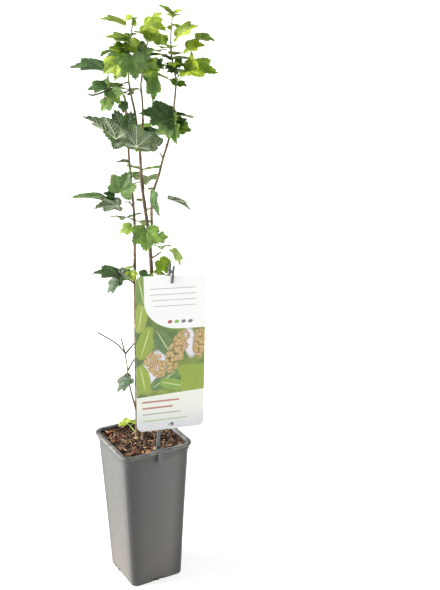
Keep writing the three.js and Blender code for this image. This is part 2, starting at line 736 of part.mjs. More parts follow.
function makeCard() {
  const rows = [];
  const cornerSteps = 4;
  const straightSteps = 5;
  for (let step = 0; step <= cornerSteps; step += 1) {
    const angle = step / cornerSteps * Math.PI / 2;
    rows.push([cardCorner * (1 - Math.cos(angle)), cardCorner * (1 - Math.sin(angle))]);
  }
  const heights = rows.map(([rise, inset]) => [cardBottom + rise, inset]);
  for (let step = 1; step < straightSteps; step += 1) {
    const share = step / straightSteps;
    heights.push([cardBottom + cardCorner + (cardTop - cardBottom - 2 * cardCorner) * share, 0]);
  }
  heights.push(...rows.map(([rise, inset]) => [cardTop - rise, inset]).reverse());
  const half = cardThickness / 2;
  const rings = heights.map(([height, inset]) => {
    const reach = cardWidth / 2 - inset;
    return [
      onCard(-reach, height, half),
      onCard(reach, height, half),
      onCard(reach, height, -half),
      onCard(-reach, height, -half),
    ];
  });
  const sheet = toSolid(loft(rings));
  const pegHole = holePunch(pegAside, pegHoleHeight, cardHoleRadius);
  const lowHole = holePunch(0, lowHoleHeight, cardHoleRadius);
  return toGeometry(sheet.subtract(joined([pegHole, lowHole])));
}

addPart('label_card', makeCard(), colours.card, 0.4, plantTurn);

// The holder: a clip over the pot's rim, a strip that rises behind the card, and a fork that pins the card

function turned(spot, angle) {
  const [x, y, z] = spot;
  return [x * Math.cos(angle) - y * Math.sin(angle), x * Math.sin(angle) + y * Math.cos(angle), z];
}

// A rectangle across the strip's path, turned to face along a given bearing.
function stripRing(middle, wide, deep, angle) {
  const corners = [[-wide, -deep], [wide, -deep], [wide, deep], [-wide, deep]];
  return corners.map(([aside, back]) => {
    const [x, y] = turned([aside / 2, back / 2, 0], angle);
    return [middle[0] + x, middle[1] + y, middle[2]];
  });
}

function makeHolder() {
  const outerLeg = rimHalfWidth + fitGap + clipThickness;
  const innerLeg = innerHalf(stemFoot) - fitGap - clipThickness;
  const crest = potHeight + fitGap + clipThickness;
  const half = clipWidth / 2;
  const clip = [
    boxBetween([-half, -outerLeg, crest - clipDrop], [half, -outerLeg + clipThickness, crest]),
    boxBetween([-half, -outerLeg, crest - clipThickness], [half, -innerLeg, crest]),
    boxBetween([-half, -innerLeg - clipThickness, stemFoot + 1], [half, -innerLeg, crest]),
  ];
  const wallTurn = degrees(-plantTurn);
  for (const piece of clip) {
    piece.rotateZ(wallTurn);
  }
  const cardClear = cardThickness / 2 + 1.6 * fitGap;
  const behindCard = cardClear + stripThickness / 2;
  const stripFoot = turned([0, -innerLeg - clipThickness / 2, crest - clipThickness], wallTurn);
  const stripHead = onCard(stripAside, stripTop, -behindCard);
  const rings = [];
  const steps = 6;
  for (let step = 0; step <= steps; step += 1) {
    const share = step / steps;
    const middle = stripFoot.map((value, axis) => value + (stripHead[axis] - value) * share);
    const turn = wallTurn + (cardTurn(stripTop) - wallTurn) * share;
    rings.push(stripRing(middle, stripWidth - stripTaper * share, stripThickness, turn));
  }
  const frontJaw = cardClear + clipThickness / 2;
  const jaw = [[pegAside, pegHoleHeight - 3], [jawAside, stripTop - 3]].map(([aside, height]) => (
    stripRing(onCard(aside, height, frontJaw), jawWidth, clipThickness, cardTurn(height))));
  const bridge = [cardTop + bridgeRise, cardTop + 2 * bridgeRise].map((height) => (
    stripRing(onCard(bridgeAside, height), bridgeWidth, 2 * frontJaw, cardTurn(height))));
  const peg = holePunch(pegAside, pegHoleHeight, pegRadius, 2 * frontJaw);
  const solids = [...clip, loft(rings), loft(jaw), loft(bridge)].map((piece) => toSolid(piece));
  return toGeometry(joined([...solids, peg]));
}

addPart('label_holder', makeHolder(), colours.holder, 0.5, plantTurn);

export default part;
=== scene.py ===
import math

import bpy
import numpy as np
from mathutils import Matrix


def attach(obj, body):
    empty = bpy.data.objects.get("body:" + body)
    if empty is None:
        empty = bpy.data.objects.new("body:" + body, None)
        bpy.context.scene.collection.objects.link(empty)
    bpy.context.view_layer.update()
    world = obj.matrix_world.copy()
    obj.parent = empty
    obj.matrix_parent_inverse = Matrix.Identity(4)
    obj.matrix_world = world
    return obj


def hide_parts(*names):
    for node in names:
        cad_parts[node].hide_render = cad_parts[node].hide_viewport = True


# A young white currant bush in a tall square nursery pot, with a picture card on a plastic holder.
# Shapes are worked out in millimetres in the plant's own turned frame, x to the right of the picture and
# y away from the camera, and makePiece turns them into the shared frame in metres.

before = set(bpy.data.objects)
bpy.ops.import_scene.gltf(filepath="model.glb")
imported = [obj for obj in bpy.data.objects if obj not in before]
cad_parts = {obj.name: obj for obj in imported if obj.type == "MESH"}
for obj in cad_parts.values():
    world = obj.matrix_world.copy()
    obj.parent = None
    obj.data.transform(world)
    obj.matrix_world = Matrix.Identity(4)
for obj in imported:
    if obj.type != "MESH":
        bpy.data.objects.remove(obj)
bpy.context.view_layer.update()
metres = 0.001  # one millimetre
plantTurn = -29.5  # degrees from the pot's walls to the plant's own frame


# shader maths

class Flow:
    # a socket in a finish; arithmetic on it adds Math nodes
    def __init__(self, finish, socket):
        self.finish = finish
        self.socket = socket

    def math(self, operation, *values):
        return self.finish.node("ShaderNodeMath", {"operation": operation}, dict(enumerate(values)))

    def __add__(self, other):
        return self.math("ADD", self, other)

    def __radd__(self, other):
        return self.math("ADD", other, self)

    def __sub__(self, other):
        return self.math("SUBTRACT", self, other)

    def __rsub__(self, other):
        return self.math("SUBTRACT", other, self)

    def __mul__(self, other):
        return self.math("MULTIPLY", self, other)

    def __rmul__(self, other):
        return self.math("MULTIPLY", other, self)

    def __truediv__(self, other):
        return self.math("DIVIDE", self, other)

    def __rtruediv__(self, other):
        return self.math("DIVIDE", other, self)

    def unsigned(self):
        return self.math("ABSOLUTE", self)

    def above(self, edge, soft):
        # 0 below the edge and 1 above it, over a soft width
        settings = {"interpolation_type": "SMOOTHSTEP"}
        return self.finish.node("ShaderNodeMapRange", settings, {0: self, 1: edge - soft, 2: edge + soft})


class Finish:
    # a material and its Principled shader; constants go on the shader's own sockets
    def __init__(self, name, roughness=0.5, **constants):
        self.material = bpy.data.materials.new(name)
        self.material.use_nodes = True
        self.tree = self.material.node_tree
        self.shader = self.tree.nodes["Principled BSDF"]
        self.shader.inputs["Roughness"].default_value = roughness
        for name, value in constants.items():
            self.shader.inputs[name].default_value = value

    def node(self, kind, settings=None, values=None, out=0):
        made = self.tree.nodes.new(kind)
        for name, value in (settings or {}).items():
            setattr(made, name, value)
        for name, value in (values or {}).items():
            self.feed(made.inputs[name], value)
        return Flow(self, made.outputs[out])

    def feed(self, socket, value):
        if isinstance(value, Flow):
            self.tree.links.new(value.socket, socket)
        else:
            socket.default_value = value

    def place(self, stretch=(1, 1, 1)):
        spot = self.node("ShaderNodeTexCoord", out="Object")
        if stretch == (1, 1, 1):
            return spot
        return self.node("ShaderNodeVectorMath", {"operation": "MULTIPLY"}, {0: spot, 1: stretch})

    def along(self, direction):
        # distance of a spot along a direction of the shared frame, in metres
        values = {0: self.node("ShaderNodeTexCoord", out="Object"), 1: direction}
        return self.node("ShaderNodeVectorMath", {"operation": "DOT_PRODUCT"}, values, out="Value")

    def noise(self, spot, scale, detail=3.0, rough=0.55):
        values = {"Vector": spot, "Scale": scale, "Detail": detail, "Roughness": rough}
        return self.node("ShaderNodeTexNoise", {}, values)

    def cells(self, spot, scale):
        # how far a spot lies from the edge of its cell
        settings = {"feature": "DISTANCE_TO_EDGE"}
        return self.node("ShaderNodeTexVoronoi", settings, {"Vector": spot, "Scale": scale})

    def mix(self, share, first, second):
        return self.node("ShaderNodeMix", {"data_type": "RGBA"}, {0: share, 6: first, 7: second}, out=2)

    def colour(self, value):
        self.feed(self.shader.inputs["Base Color"], value)

    def rough(self, value):
        self.feed(self.shader.inputs["Roughness"], value)

    def bump(self, height, distance):
        values = {"Height": height, "Distance": distance}
        self.feed(self.shader.inputs["Normal"], self.node("ShaderNodeBump", {}, values))


def paint(code):
    # "#rrggbb" as a linear colour
    colour = []
    for start in (1, 3, 5):
        share = int(code[start:start + 2], 16) / 255
        colour.append(share / 12.92 if share <= 0.04045 else ((share + 0.055) / 1.055) ** 2.4)
    return (*colour, 1.0)


# lines, rings and pieces

def between(ends, share):
    return ends[0] + (ends[1] - ends[0]) * share


def randomStream(seed):
    # a plain stream of even draws between 0 and 1
    state = [seed]

    def draw():
        state[0] = (state[0] * 1664525 + 1013904223) % 4294967296
        return state[0] / 4294967296
    return draw


def heading(bearing, rise, length=1.0):
    # a step with a bearing from the right of the picture, 90 being away from the camera, and a rise
    bearing, rise = math.radians(bearing), math.radians(rise)
    flat = math.cos(rise) * length
    return np.array([flat * math.cos(bearing), flat * math.sin(bearing), math.sin(rise) * length])


def unit(vector):
    return vector / np.linalg.norm(vector)


def smoothCurve(points, samples=24):
    # a smooth line through the points, with its ends carried straight on
    spots = np.array(points, float)
    spots = np.vstack([2 * spots[0] - spots[1], spots, 2 * spots[-1] - spots[-2]])
    line = []
    for index in range(len(spots) - 3):
        before, start, end, after = spots[index:index + 4]
        spans = (before, start), (start, end), (end, after)
        gapBefore, gap, gapAfter = (np.linalg.norm(b - a) ** 0.5 for a, b in spans)
        slope = (end - start) / gap
        leave = ((start - before) / gapBefore - (end - before) / (gapBefore + gap) + slope) * gap
        arrive = (slope - (after - start) / (gap + gapAfter) + (after - end) / gapAfter) * gap
        for share in np.linspace(0, 1, samples, endpoint=False):
            square, cube = share ** 2, share ** 3
            line.append((2 * cube - 3 * square + 1) * start + (cube - 2 * square + share) * leave
                        + (3 * square - 2 * cube) * end + (cube - square) * arrive)
    line.append(spots[-2])
    return np.array(line)


def alongLine(line, shares):
    # the spots at these shares of a line's length, and the length
    steps = np.concatenate([[0], np.cumsum(np.linalg.norm(np.diff(line, axis=0), axis=1))])
    wanted = np.asarray(shares) * steps[-1]
    return np.stack([np.interp(wanted, steps, line[:, axis]) for axis in range(3)], axis=-1), steps[-1]


def lineFrames(line):
    # two directions square to the line at each of its spots, turned as little as possible along it
    ahead = np.gradient(line, axis=0)
    ahead /= np.linalg.norm(ahead, axis=1)[:, None]
    side = unit(np.cross(ahead[0], [0.31, 0.95, 0.07]))
    sides = []
    for toward in ahead:
        side = unit(side - toward * side.dot(toward))
        sides.append(side)
    sides = np.array(sides)
    return sides, np.cross(ahead, sides)


def spin(spots, angle):
    # turns spots about the upright axis
    cosine, sine = math.cos(angle), math.sin(angle)
    x, y = spots[..., 0], spots[..., 1]
    return np.stack([x * cosine - y * sine, x * sine + y * cosine, spots[..., 2]], axis=-1)


def gridFaces(index):
    corners = [index[:-1, :-1], index[:-1, 1:], index[1:, 1:], index[1:, :-1]]
    return np.stack(corners, axis=-1).reshape(-1, 4).tolist()


def gridRim(index):
    # the grid's outer spots, once round
    return np.concatenate([index[0, :-1], index[:-1, -1], index[-1, :0:-1], index[:0:-1, 0]]).tolist()


class Heap:
    # spots and faces of one piece, each face with the name of its finish
    def __init__(self):
        self.spots, self.faces, self.kinds = [], [], []
        self.count = 0

    def add(self, spots, faces, kind):
        self.faces += [tuple(corner + self.count for corner in face) for face in faces]
        self.kinds += [kind] * len(faces) if isinstance(kind, str) else kind
        self.spots.append(np.asarray(spots, float))
        self.count += len(spots)

    def addRings(self, rings, kind):
        # skin over closed rings with equal counts, ends closed by a flat face
        count = len(rings[0])
        corners = np.arange(count)
        beyond = (corners + 1) % count
        faces = []
        for row in range(len(rings) - 1):
            low, high = row * count, (row + 1) * count
            faces += np.stack([low + corners, low + beyond, high + beyond, high + corners], axis=1).tolist()
        faces.append(list(range(count))[::-1])
        faces.append([(len(rings) - 1) * count + corner for corner in range(count)])
        self.add(np.concatenate(rings), faces, kind)

    def addTube(self, line, radii, sides, kind):
        across, above = lineFrames(line)
        angles = np.arange(sides) * 2 * math.pi / sides
        radii = np.broadcast_to(radii, len(line))
        rings = [spot + radius * (np.outer(np.cos(angles), a) + np.outer(np.sin(angles), b))
                 for spot, radius, a, b in zip(line, radii, across, above)]
        self.addRings(rings, kind)


def makePiece(name, heap, nodes, turn=plantTurn, sharp=50):
    # one object of a heap, which stands in for nodes of the frame
    kinds = sorted(set(heap.kinds))
    spots = spin(np.concatenate(heap.spots), math.radians(turn))
    mesh = bpy.data.meshes.new(name)
    mesh.from_pydata((spots * metres).tolist(), [], heap.faces)
    mesh.polygons.foreach_set("material_index", [kinds.index(kind) for kind in heap.kinds])
    for kind in kinds:
        mesh.materials.append(finishes[kind].material)
    mesh.shade_smooth()
    mesh.set_sharp_from_angle(angle=math.radians(sharp))
    piece = bpy.data.objects.new(name, mesh)
    bpy.context.scene.collection.objects.link(piece)
    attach(piece, "root")
    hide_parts(*nodes)
    return piece


def carveAway(piece, heap, turn=0, smooth=False):
    # cuts the closed shapes of a heap out of a piece
    cutter = bpy.data.objects.new("cutter", bpy.data.meshes.new("cutter"))
    spots = spin(np.concatenate(heap.spots), math.radians(turn))
    cutter.data.from_pydata((spots * metres).tolist(), [], heap.faces)
    if smooth:
        cutter.data.shade_smooth()
        cutter.data.set_sharp_from_angle(angle=math.radians(50))
    bpy.context.scene.collection.objects.link(cutter)
    carve = piece.modifiers.new("carve", "BOOLEAN")
    carve.object = cutter
    carve.operation = "DIFFERENCE"
    carve.solver = "EXACT"
    bpy.context.view_layer.update()
    carved = bpy.data.meshes.new_from_object(piece.evaluated_get(bpy.context.evaluated_depsgraph_get()))
    piece.modifiers.clear()
    piece.data = carved
    bpy.data.objects.remove(cutter)


# finishes

finishes = {}

leafTints = {
    # two top colours, two underside colours, then the veins above and below
    "fresh": ("#5c7414", "#abbd2c", "#70852a", "#a6b44c", "#c4d06a", "#cbd68c"),
    "spring": ("#456216", "#92aa2a", "#61772e", "#99aa5a", "#acbd56", "#bfcb84"),
    "mid": ("#335319", "#7c9a2e", "#566a31", "#8fa160", "#98ae54", "#b8c68c"),
    "deep": ("#223b16", "#4d6f2c", "#44562f", "#778855", "#648247", "#93a376"),
    # painted shade: "dark" and "dusk" are darker copies of "deep" for low leaves in shade, "dusk" with darker
    # veins too
    "dark": ("#182b0f", "#37531f", "#35452a", "#5f7148", "#7d9560", "#93a376"),
    "dusk": ("#182b0f", "#324d1d", "#35452a", "#5f7148", "#3d5a2a", "#6b7d52"),
    "blue": ("#304e1f", "#6b8638", "#4b5d36", "#80906b", "#88a45c", "#b4c296"),
    # painted shade: "dim" is a darker copy of "pale", for a leaf turned away from the light
    "dim": ("#3c5726", "#768c47", "#243318", "#4e6038", "#a4b878", "#ccd4b8"),
    "pale": ("#48662e", "#8aa056", "#2f4124", "#65784a", "#a4b878", "#e8eed8"),
}


def makeLeafFinish(name, dark, light, roughness, relief):
    # thin green blade: daylight passes through it a little
    thin = {"Subsurface Weight": 0.45, "Subsurface Radius": (0.55, 1.0, 0.16), "Subsurface Scale": 0.0016}
    finish = Finish(name, roughness, **thin)
    spot = finish.place()
    broad = finish.noise(spot, 62, 3)
    fine = finish.noise(spot, 300, 4, 0.65)
    net = finish.cells(spot, 410)
    shade = (broad * 1.6 + fine * 0.9 - 0.8).above(0.5, 0.34)
    finish.colour(finish.mix(net.above(0.09, 0.1) * 0.2 + shade * 0.8, paint(dark), paint(light)))
    finish.rough(fine * 0.22 + (roughness - 0.1))
    finish.bump(net.above(0.12, 0.14) + fine * 0.7, relief)
    finishes[name] = finish


def makeVeinFinish(name, colour):
    finish = Finish(name, 0.55)
    red, green, blue, _ = paint(colour)
    darker = (0.72 * red, 0.72 * green, 0.72 * blue, 1.0)
    finish.colour(finish.mix(finish.noise(finish.place(), 180, 2), paint(colour), darker))
    finishes[name] = finish


for tint, (dark, light, underDark, underLight, veinTop, veinUnder) in leafTints.items():
    roughness = 0.6 if tint == "deep" else 0.45  # older leaves are less glossy
    makeLeafFinish(tint + "Top", dark, light, roughness, 0.00028)
    makeLeafFinish(tint + "Under", underDark, underLight, 0.68, 0.0003)
    makeVeinFinish(tint + "VeinTop", veinTop)
    makeVeinFinish(tint + "VeinUnder", veinUnder)


def makeStemFinish(name, dark, light, fleck, roughness):
    # streaks that run up the limb, with pale flecks and dark pits
    finish = Finish(name, roughness)
    streaks = finish.noise(finish.place((1, 1, 0.09)), 900, 4, 0.6)
    patches = finish.noise(finish.place((1, 1, 0.45)), 120, 3)
    grain = finish.noise(finish.place(), 1400, 3)
    bark = finish.mix((streaks * 0.7 + patches * 0.8 - 0.25).above(0.5, 0.22), paint(dark), paint(light))
    finish.colour(finish.mix((patches * 0.5 + grain * 0.6).above(0.66, 0.05) * 0.7, bark, paint(fleck)))
    finish.rough(streaks * 0.2 + (roughness - 0.1))
    finish.bump(streaks * 0.7 + grain * 0.3, 0.0007)
    finishes[name] = finish


makeStemFinish("oldBark", "#3b2e22", "#7c6850", "#a99c86", 0.8)
makeStemFinish("youngBark", "#4b3d26", "#85744c", "#a0946c", 0.7)
makeStemFinish("greenShoot", "#5f7434", "#8a9c4e", "#8a7a48", 0.6)
makeStemFinish("stalkGreen", "#7d9a45", "#a9be6a", "#b08f62", 0.55)
makeStemFinish("darkShoot", "#2e3823", "#56633f", "#6b5d40", 0.6)
makeStemFinish("stalkRed", "#6a5a3c", "#8c9458", "#8f5f48", 0.55)
makeStemFinish("bud", "#6b3f30", "#a8735a", "#c9b08a", 0.6)


def makePlastic(name, dark, light, roughness):
    # moulded plastic with faint flow marks and fine scuffs
    finish = Finish(name, roughness)
    flow = finish.noise(finish.place((1, 1, 0.25)), 22, 3)
    mottle = finish.noise(finish.place(), 90, 5, 0.7)
    scuffs = finish.noise(finish.place((1, 1, 9)), 70, 4, 0.75).above(0.66, 0.03)
    tone = finish.mix(flow * 0.6 + mottle * 0.4, paint(dark), paint(light))
    # the pot's tone also gets painted shade, painted light and a painted highlight
    if name == "potPlastic":
        tone = paintPotShading(finish, tone, flow, mottle)
    finish.colour(finish.mix(scuffs * mottle * 0.4, tone, paint("#9b9993")))
    finish.rough(mottle * 0.22 + scuffs * 0.1 + (roughness - 0.12))
    finish.bump(finish.noise(finish.place(), 2600, 2) + flow * 2.0, 0.00012)
    finishes[name] = finish


potShading = {
    # each edge in metres with its soft width, then the strength and the colour
    "footDarkening": (0.1, 0.12, 0.5, "#66594a"), "frontShade": (0.04, 0.006, 0.4, "#2b2b2b"),
    "rightLight": (0.004, 0.05, 0.3, "#7d7d7a"), "corner": (0.0505, 0.0085, 0.72, "#282828"),
    "cornerTaper": 0.0665, "rimHighlight": (0.2362, 0.0012, 0.5, "#94928d"),
    # bands from a lower to an upper edge: painted shade over the collar above the shoulder, then a painted
    # shadow in the groove under the lip
    "shadeBands": ((0.2225, 0.006, 0.2345, 0.0006, 0.55, "#303030"),
              (0.2336, 0.0005, 0.2354, 0.0004, 0.6, "#242424")),
}


def paintPotShading(finish, tone, flow, mottle):
    # darker and warmer towards the foot, painted shade near the front corner and along the corners, painted
    # light on the right, painted shade over the collar and under the lip, a painted highlight on the rim
    height = finish.along((0.0, 0.0, 1.0))
    outward = finish.along((1.0, 0.0, 0.0)).unsigned()
    sideways = finish.along((0.0, 1.0, 0.0)).unsigned()
    # darker and warmer towards the foot
    place, soft, strength, colour = potShading["footDarkening"]
    tone = finish.mix((1 - height.above(place, soft)) * (flow + mottle * 0.5) * strength, tone, paint(colour))
    # painted shade on the front face near the corner, and painted light on the right half
    place, soft, strength, colour = potShading["rightLight"]
    right = finish.along((1.0, 0.0, 0.0)).above(place, soft)
    edge, edgeSoft, shade, shadeColour = potShading["frontShade"]
    front = finish.along((0.0, -1.0, 0.0)).above(edge, edgeSoft)
    tone = finish.mix(front * (1 - right) * shade, tone, paint(shadeColour))
    tone = finish.mix(right * strength, tone, paint(colour))
    # painted shade along the four corners
    place, soft, strength, colour = potShading["corner"]
    corner = ((outward + sideways) * math.sqrt(0.5) - height * potShading["cornerTaper"]).above(place, soft)
    tone = finish.mix(corner * (strength + mottle * 0.2), tone, paint(colour))
    # painted shade over the collar and a painted shadow under the lip
    for low, lowSoft, high, highSoft, strength, colour in potShading["shadeBands"]:
        band = height.above(low, lowSoft) * (1 - height.above(high, highSoft))
        tone = finish.mix(band * strength, tone, paint(colour))
    # a painted highlight in patches along the rim's top
    place, soft, strength, colour = potShading["rimHighlight"]
    rimHighlightMask = height.above(place, soft) * mottle.above(0.5, 0.2)
    return finish.mix(rimHighlightMask * strength, tone, paint(colour))


makePlastic("potPlastic", "#3d3d3c", "#4f4f4d", 0.36)
makePlastic("holderPlastic", "#414446", "#5b5f61", 0.38)


def makeEarth(name, dark, light):
    # crumbly compost and bark, matt all over
    finish = Finish(name, 0.9)
    fibre = finish.noise(finish.place(), 420, 5, 0.7)
    clumps = finish.noise(finish.place(), 70, 2)
    finish.colour(finish.mix((fibre * 0.8 + clumps * 0.5).above(0.62, 0.2), paint(dark), paint(light)))
    finish.rough(fibre * 0.3 + 0.7)
    finish.bump(fibre, 0.0012)
    finishes[name] = finish


makeEarth("soilBed", "#1d130e", "#3c2a1e")
makeEarth("chipDark", "#2a1b14", "#4a3325")
makeEarth("chipBrown", "#4a3020", "#745239")
makeEarth("chipRed", "#5e3421", "#8c5636")
makeEarth("chipOrange", "#a8662f", "#cf9255")
makeEarth("chipTan", "#94754e", "#cdb088")
print("finishes made:", len(finishes))


# pot

potSizes = {
    "height": 240, "rimHalf": 59.5, "baseHalf": 44, "wall": 2, "collar": 11, "collarReach": 1.9,
    "lip": 4.5, "lipReach": 2.8, "corner": 9, "cornerGrowth": 1.5, "floor": 3, "rimRound": 1.5,
    "drainWidth": 20, "drainHeight": 5, "drainDepth": 4, "drainOffset": -17,
    # the walls bow in a little between foot and collar
    "wallHeights": (14, 60, 115, 170, 214, 226), "wallBow": 0.35, "innerHeights": (234, 160, 80, 4.5),
    # rounded edges: steps outward and upward from the half width and height that each stands at
    "footEdge": ((-3.0, 0.0), (-2.0, 0.0), (-1.1, 0.3)), "footRound": ((-0.4, 1.1), (-0.1, 2.0), (0.0, 3.2)),
    "shoulder": ((0.0, -0.8), (0.4, -0.2)), "collarFoot": ((-0.5, 0.0), (0.0, 0.6)),
    "collarTop": ((0.0, -1.3), (0.3, -0.9)), "lipFoot": ((-0.6, -0.4), (-0.1, 0.1), (0.0, 0.7)),
    "lipTop": ((0.0, -1.5), (-0.45, -0.45), (-1.5, 0.0)), "mouth": ((1.7, 0.0), (0.5, -0.4), (0.0, -1.5)),
}
collarHalf = potSizes["rimHalf"] - potSizes["lipReach"]
wallTopHalf = collarHalf - potSizes["collarReach"]
wallTop = potSizes["height"] - potSizes["collar"]
squareCorners = ((1, 1), (-1, 1), (-1, -1), (1, -1))


def squareRing(half, corner, height, arcSteps=9, sideSteps=5):
    # a square with round corners, with spots along its straight sides too
    ring = []

    def onCorner(side, angle):
        right, away = squareCorners[side % 4]
        return (right * (half - corner) + corner * math.cos(angle),
                away * (half - corner) + corner * math.sin(angle), height)

    for side in range(4):
        ring += [onCorner(side, angle) for angle in (side + np.linspace(0, 1, arcSteps + 1)) * math.pi / 2]
        start = np.array(ring[-1])
        end = np.array(onCorner(side + 1, (side + 1) * math.pi / 2))
        ring += [tuple(start + (end - start) * step / sideSteps) for step in range(1, sideSteps)]
    return np.array(ring)


def outerHalf(height):
    return potSizes["baseHalf"] + (wallTopHalf - potSizes["baseHalf"]) * height / wallTop


floorHalf = outerHalf(potSizes["floor"]) - potSizes["wall"]
mouthHalf = wallTopHalf - potSizes["wall"]


def innerHalf(height):
    share = (height - potSizes["floor"]) / (potSizes["height"] - potSizes["rimRound"] - potSizes["floor"])
    return floorHalf + (mouthHalf - floorHalf) * share


def potProfile():
    # half widths and heights from the foot up the outside, over the lip and down the inside
    base, rim, top = potSizes["baseHalf"], potSizes["rimHalf"], potSizes["height"]
    lip = top - potSizes["lip"]

    def edge(half, height, steps):
        return [(half + out, height + up) for out, up in steps]

    outside = edge(base, 0, potSizes["footEdge"])
    outside += [(outerHalf(height) + out, height) for out, height in potSizes["footRound"]]
    outside += [(outerHalf(height) - potSizes["wallBow"] * math.sin(math.pi * height / wallTop), height)
                for height in potSizes["wallHeights"]]
    outside += edge(wallTopHalf, wallTop, potSizes["shoulder"])
    outside += edge(collarHalf, wallTop, potSizes["collarFoot"])
    outside += edge(collarHalf, lip, potSizes["collarTop"]) + edge(rim, lip, potSizes["lipFoot"])
    outside += edge(rim, top, potSizes["lipTop"]) + edge(mouthHalf, top, potSizes["mouth"])
    inside = [(innerHalf(height), height) for height in potSizes["innerHeights"]]
    inside.append((floorHalf - 1.2, potSizes["floor"]))
    return outside, inside


def makePot():
    outside, inside = potProfile()
    rings = []
    for index, (half, height) in enumerate(outside + inside):
        proud = min(4, max(0, half - outerHalf(min(height, wallTop))))
        corner = potSizes["corner"] + potSizes["cornerGrowth"] * height / potSizes["height"] + proud
        rings.append(squareRing(half, corner - (potSizes["wall"] if index >= len(outside) else 0), height))
    heap = Heap()
    heap.addRings(rings, "potPlastic")
    piece = makePiece("potShell", heap, ["pot"], turn=0, sharp=38)
    # the drain notches in the foot of each wall
    cuts = Heap()
    half, reach = potSizes["drainWidth"] / 2, potSizes["baseHalf"]
    for side in range(4):
        shift = 0 if side % 2 == 0 else potSizes["drainOffset"]
        left, right, near, far = shift - half, shift + half, -reach - 5, potSizes["drainDepth"] - reach
        square = np.array([(left, near, -1), (right, near, -1), (right, far, -1), (left, far, -1)], float)
        roof = square + (0, 0, potSizes["drainHeight"] + 1)
        cuts.addRings([spin(square, side * math.pi / 2), spin(roof, side * math.pi / 2)], "potPlastic")
    carveAway(piece, cuts)


makePot()
print("pot made")


# soil

soilSizes = {
    "level": 234.7, "roughness": 1.4, "levelRadius": 26, "roughRadius": 38, "gap": 0.3, "gridSteps": 72,
    "seed": 905,
    "clods": 1.9, "clodWaves": ((0.55, 0.5), (1.1, 0.3), (2.3, 0.2)), "flakeCorners": 6, "notchFlakes": 26,
    "chips": 640, "chipLength": (2.6, 7.5, 2.4), "chipMix": (0.5, 0.31, 0.13, 0.06),
    "slivers": 330, "sliverMix": (0.3, 0.17, 0.05, 0.48), "sliverLift": 1.1,
    # long shreds of bark: place, length, width, bearing, kind
    "strips": ((-46, 10, 34, 3.6, 84, "chipBrown"), (-40, -18, 30, 3.0, 100, "chipDark"),
               (-48, 34, 26, 2.6, 92, "chipBrown"), (-33, -38, 26, 3.2, 22, "chipRed"),
               (-12, -44, 12, 8.5, 35, "chipOrange"), (-20, -40, 9, 5.5, 120, "chipOrange"),
               (-6, -33, 20, 2.8, 150, "chipBrown"), (-27, -24, 24, 2.6, 60, "chipTan"),
               (14, -46, 18, 2.6, 5, "chipDark"), (-37, 42, 28, 3.2, 15, "chipRed"),
               (-44, -32, 22, 3.0, 75, "chipDark"), (-18, 46, 26, 3.0, 170, "chipDark"),
               (30, -30, 18, 2.2, 40, "chipBrown"), (42, -8, 20, 2.6, 95, "chipDark"),
               (24, -42, 15, 1.8, 160, "chipTan")),
}
chipKinds = ("chipDark", "chipBrown", "chipRed", "chipTan")


def soilHeight(x, y):
    # level round the stems and gently uneven towards the walls
    span = soilSizes["roughRadius"] - soilSizes["levelRadius"]
    share = np.clip((np.hypot(x, y) - soilSizes["levelRadius"]) / span, 0, 1)
    waves = np.sin(x * 0.21 + 1.3) * np.cos(y * 0.17) + 0.5 * np.sin(x * 0.09 - y * 0.31)
    return soilSizes["level"] + share ** 2 * (3 - 2 * share) * soilSizes["roughness"] * (waves - 0.4)


def roundSquare(x, y, power=10):
    # pulls the corners of a square grid in to round ones
    largest = np.maximum(np.abs(x), np.abs(y))
    norm = (np.abs(x) ** power + np.abs(y) ** power) ** (1 / power)
    pull = np.where(norm > 0, largest / np.maximum(norm, 1e-9), 1)
    return x * pull, y * pull


def addSoilBed(heap, draw):
    # a grid over the compost's top, with a plain tapered block below it
    steps = soilSizes["gridSteps"]
    edge = innerHalf(soilSizes["level"] - 2) - soilSizes["gap"]
    axis = np.linspace(-edge, edge, steps + 1)
    x, y = roundSquare(*np.meshgrid(axis, axis))
    height = soilHeight(x, y)
    for scale, share in soilSizes["clodWaves"]:
        phases = draw.uniform(0, 6.28, 4)
        waves = (np.sin(x * scale + phases[0]) * np.sin(y * scale * 0.9 + phases[1])
                 + 0.6 * np.sin((x + y) * scale * 0.7 + phases[2]))
        height = height + soilSizes["clods"] * share * waves
    top = np.stack([x, y, height], axis=-1).reshape(-1, 3)
    index = np.arange((steps + 1) ** 2).reshape(steps + 1, steps + 1)
    rim = gridRim(index)
    foot = potSizes["floor"] + soilSizes["gap"]
    shrink = (innerHalf(foot) - soilSizes["gap"]) / edge
    lower = top[rim] * (shrink, shrink, 0) + (0, 0, foot)
    base, count = len(top), len(rim)
    faces = gridFaces(index)
    faces += [[rim[a], base + a, base + (a + 1) % count, rim[(a + 1) % count]] for a in range(count)]
    faces.append([base + a for a in range(count)][::-1])
    heap.add(np.concatenate([top, lower]), faces, "soilBed")


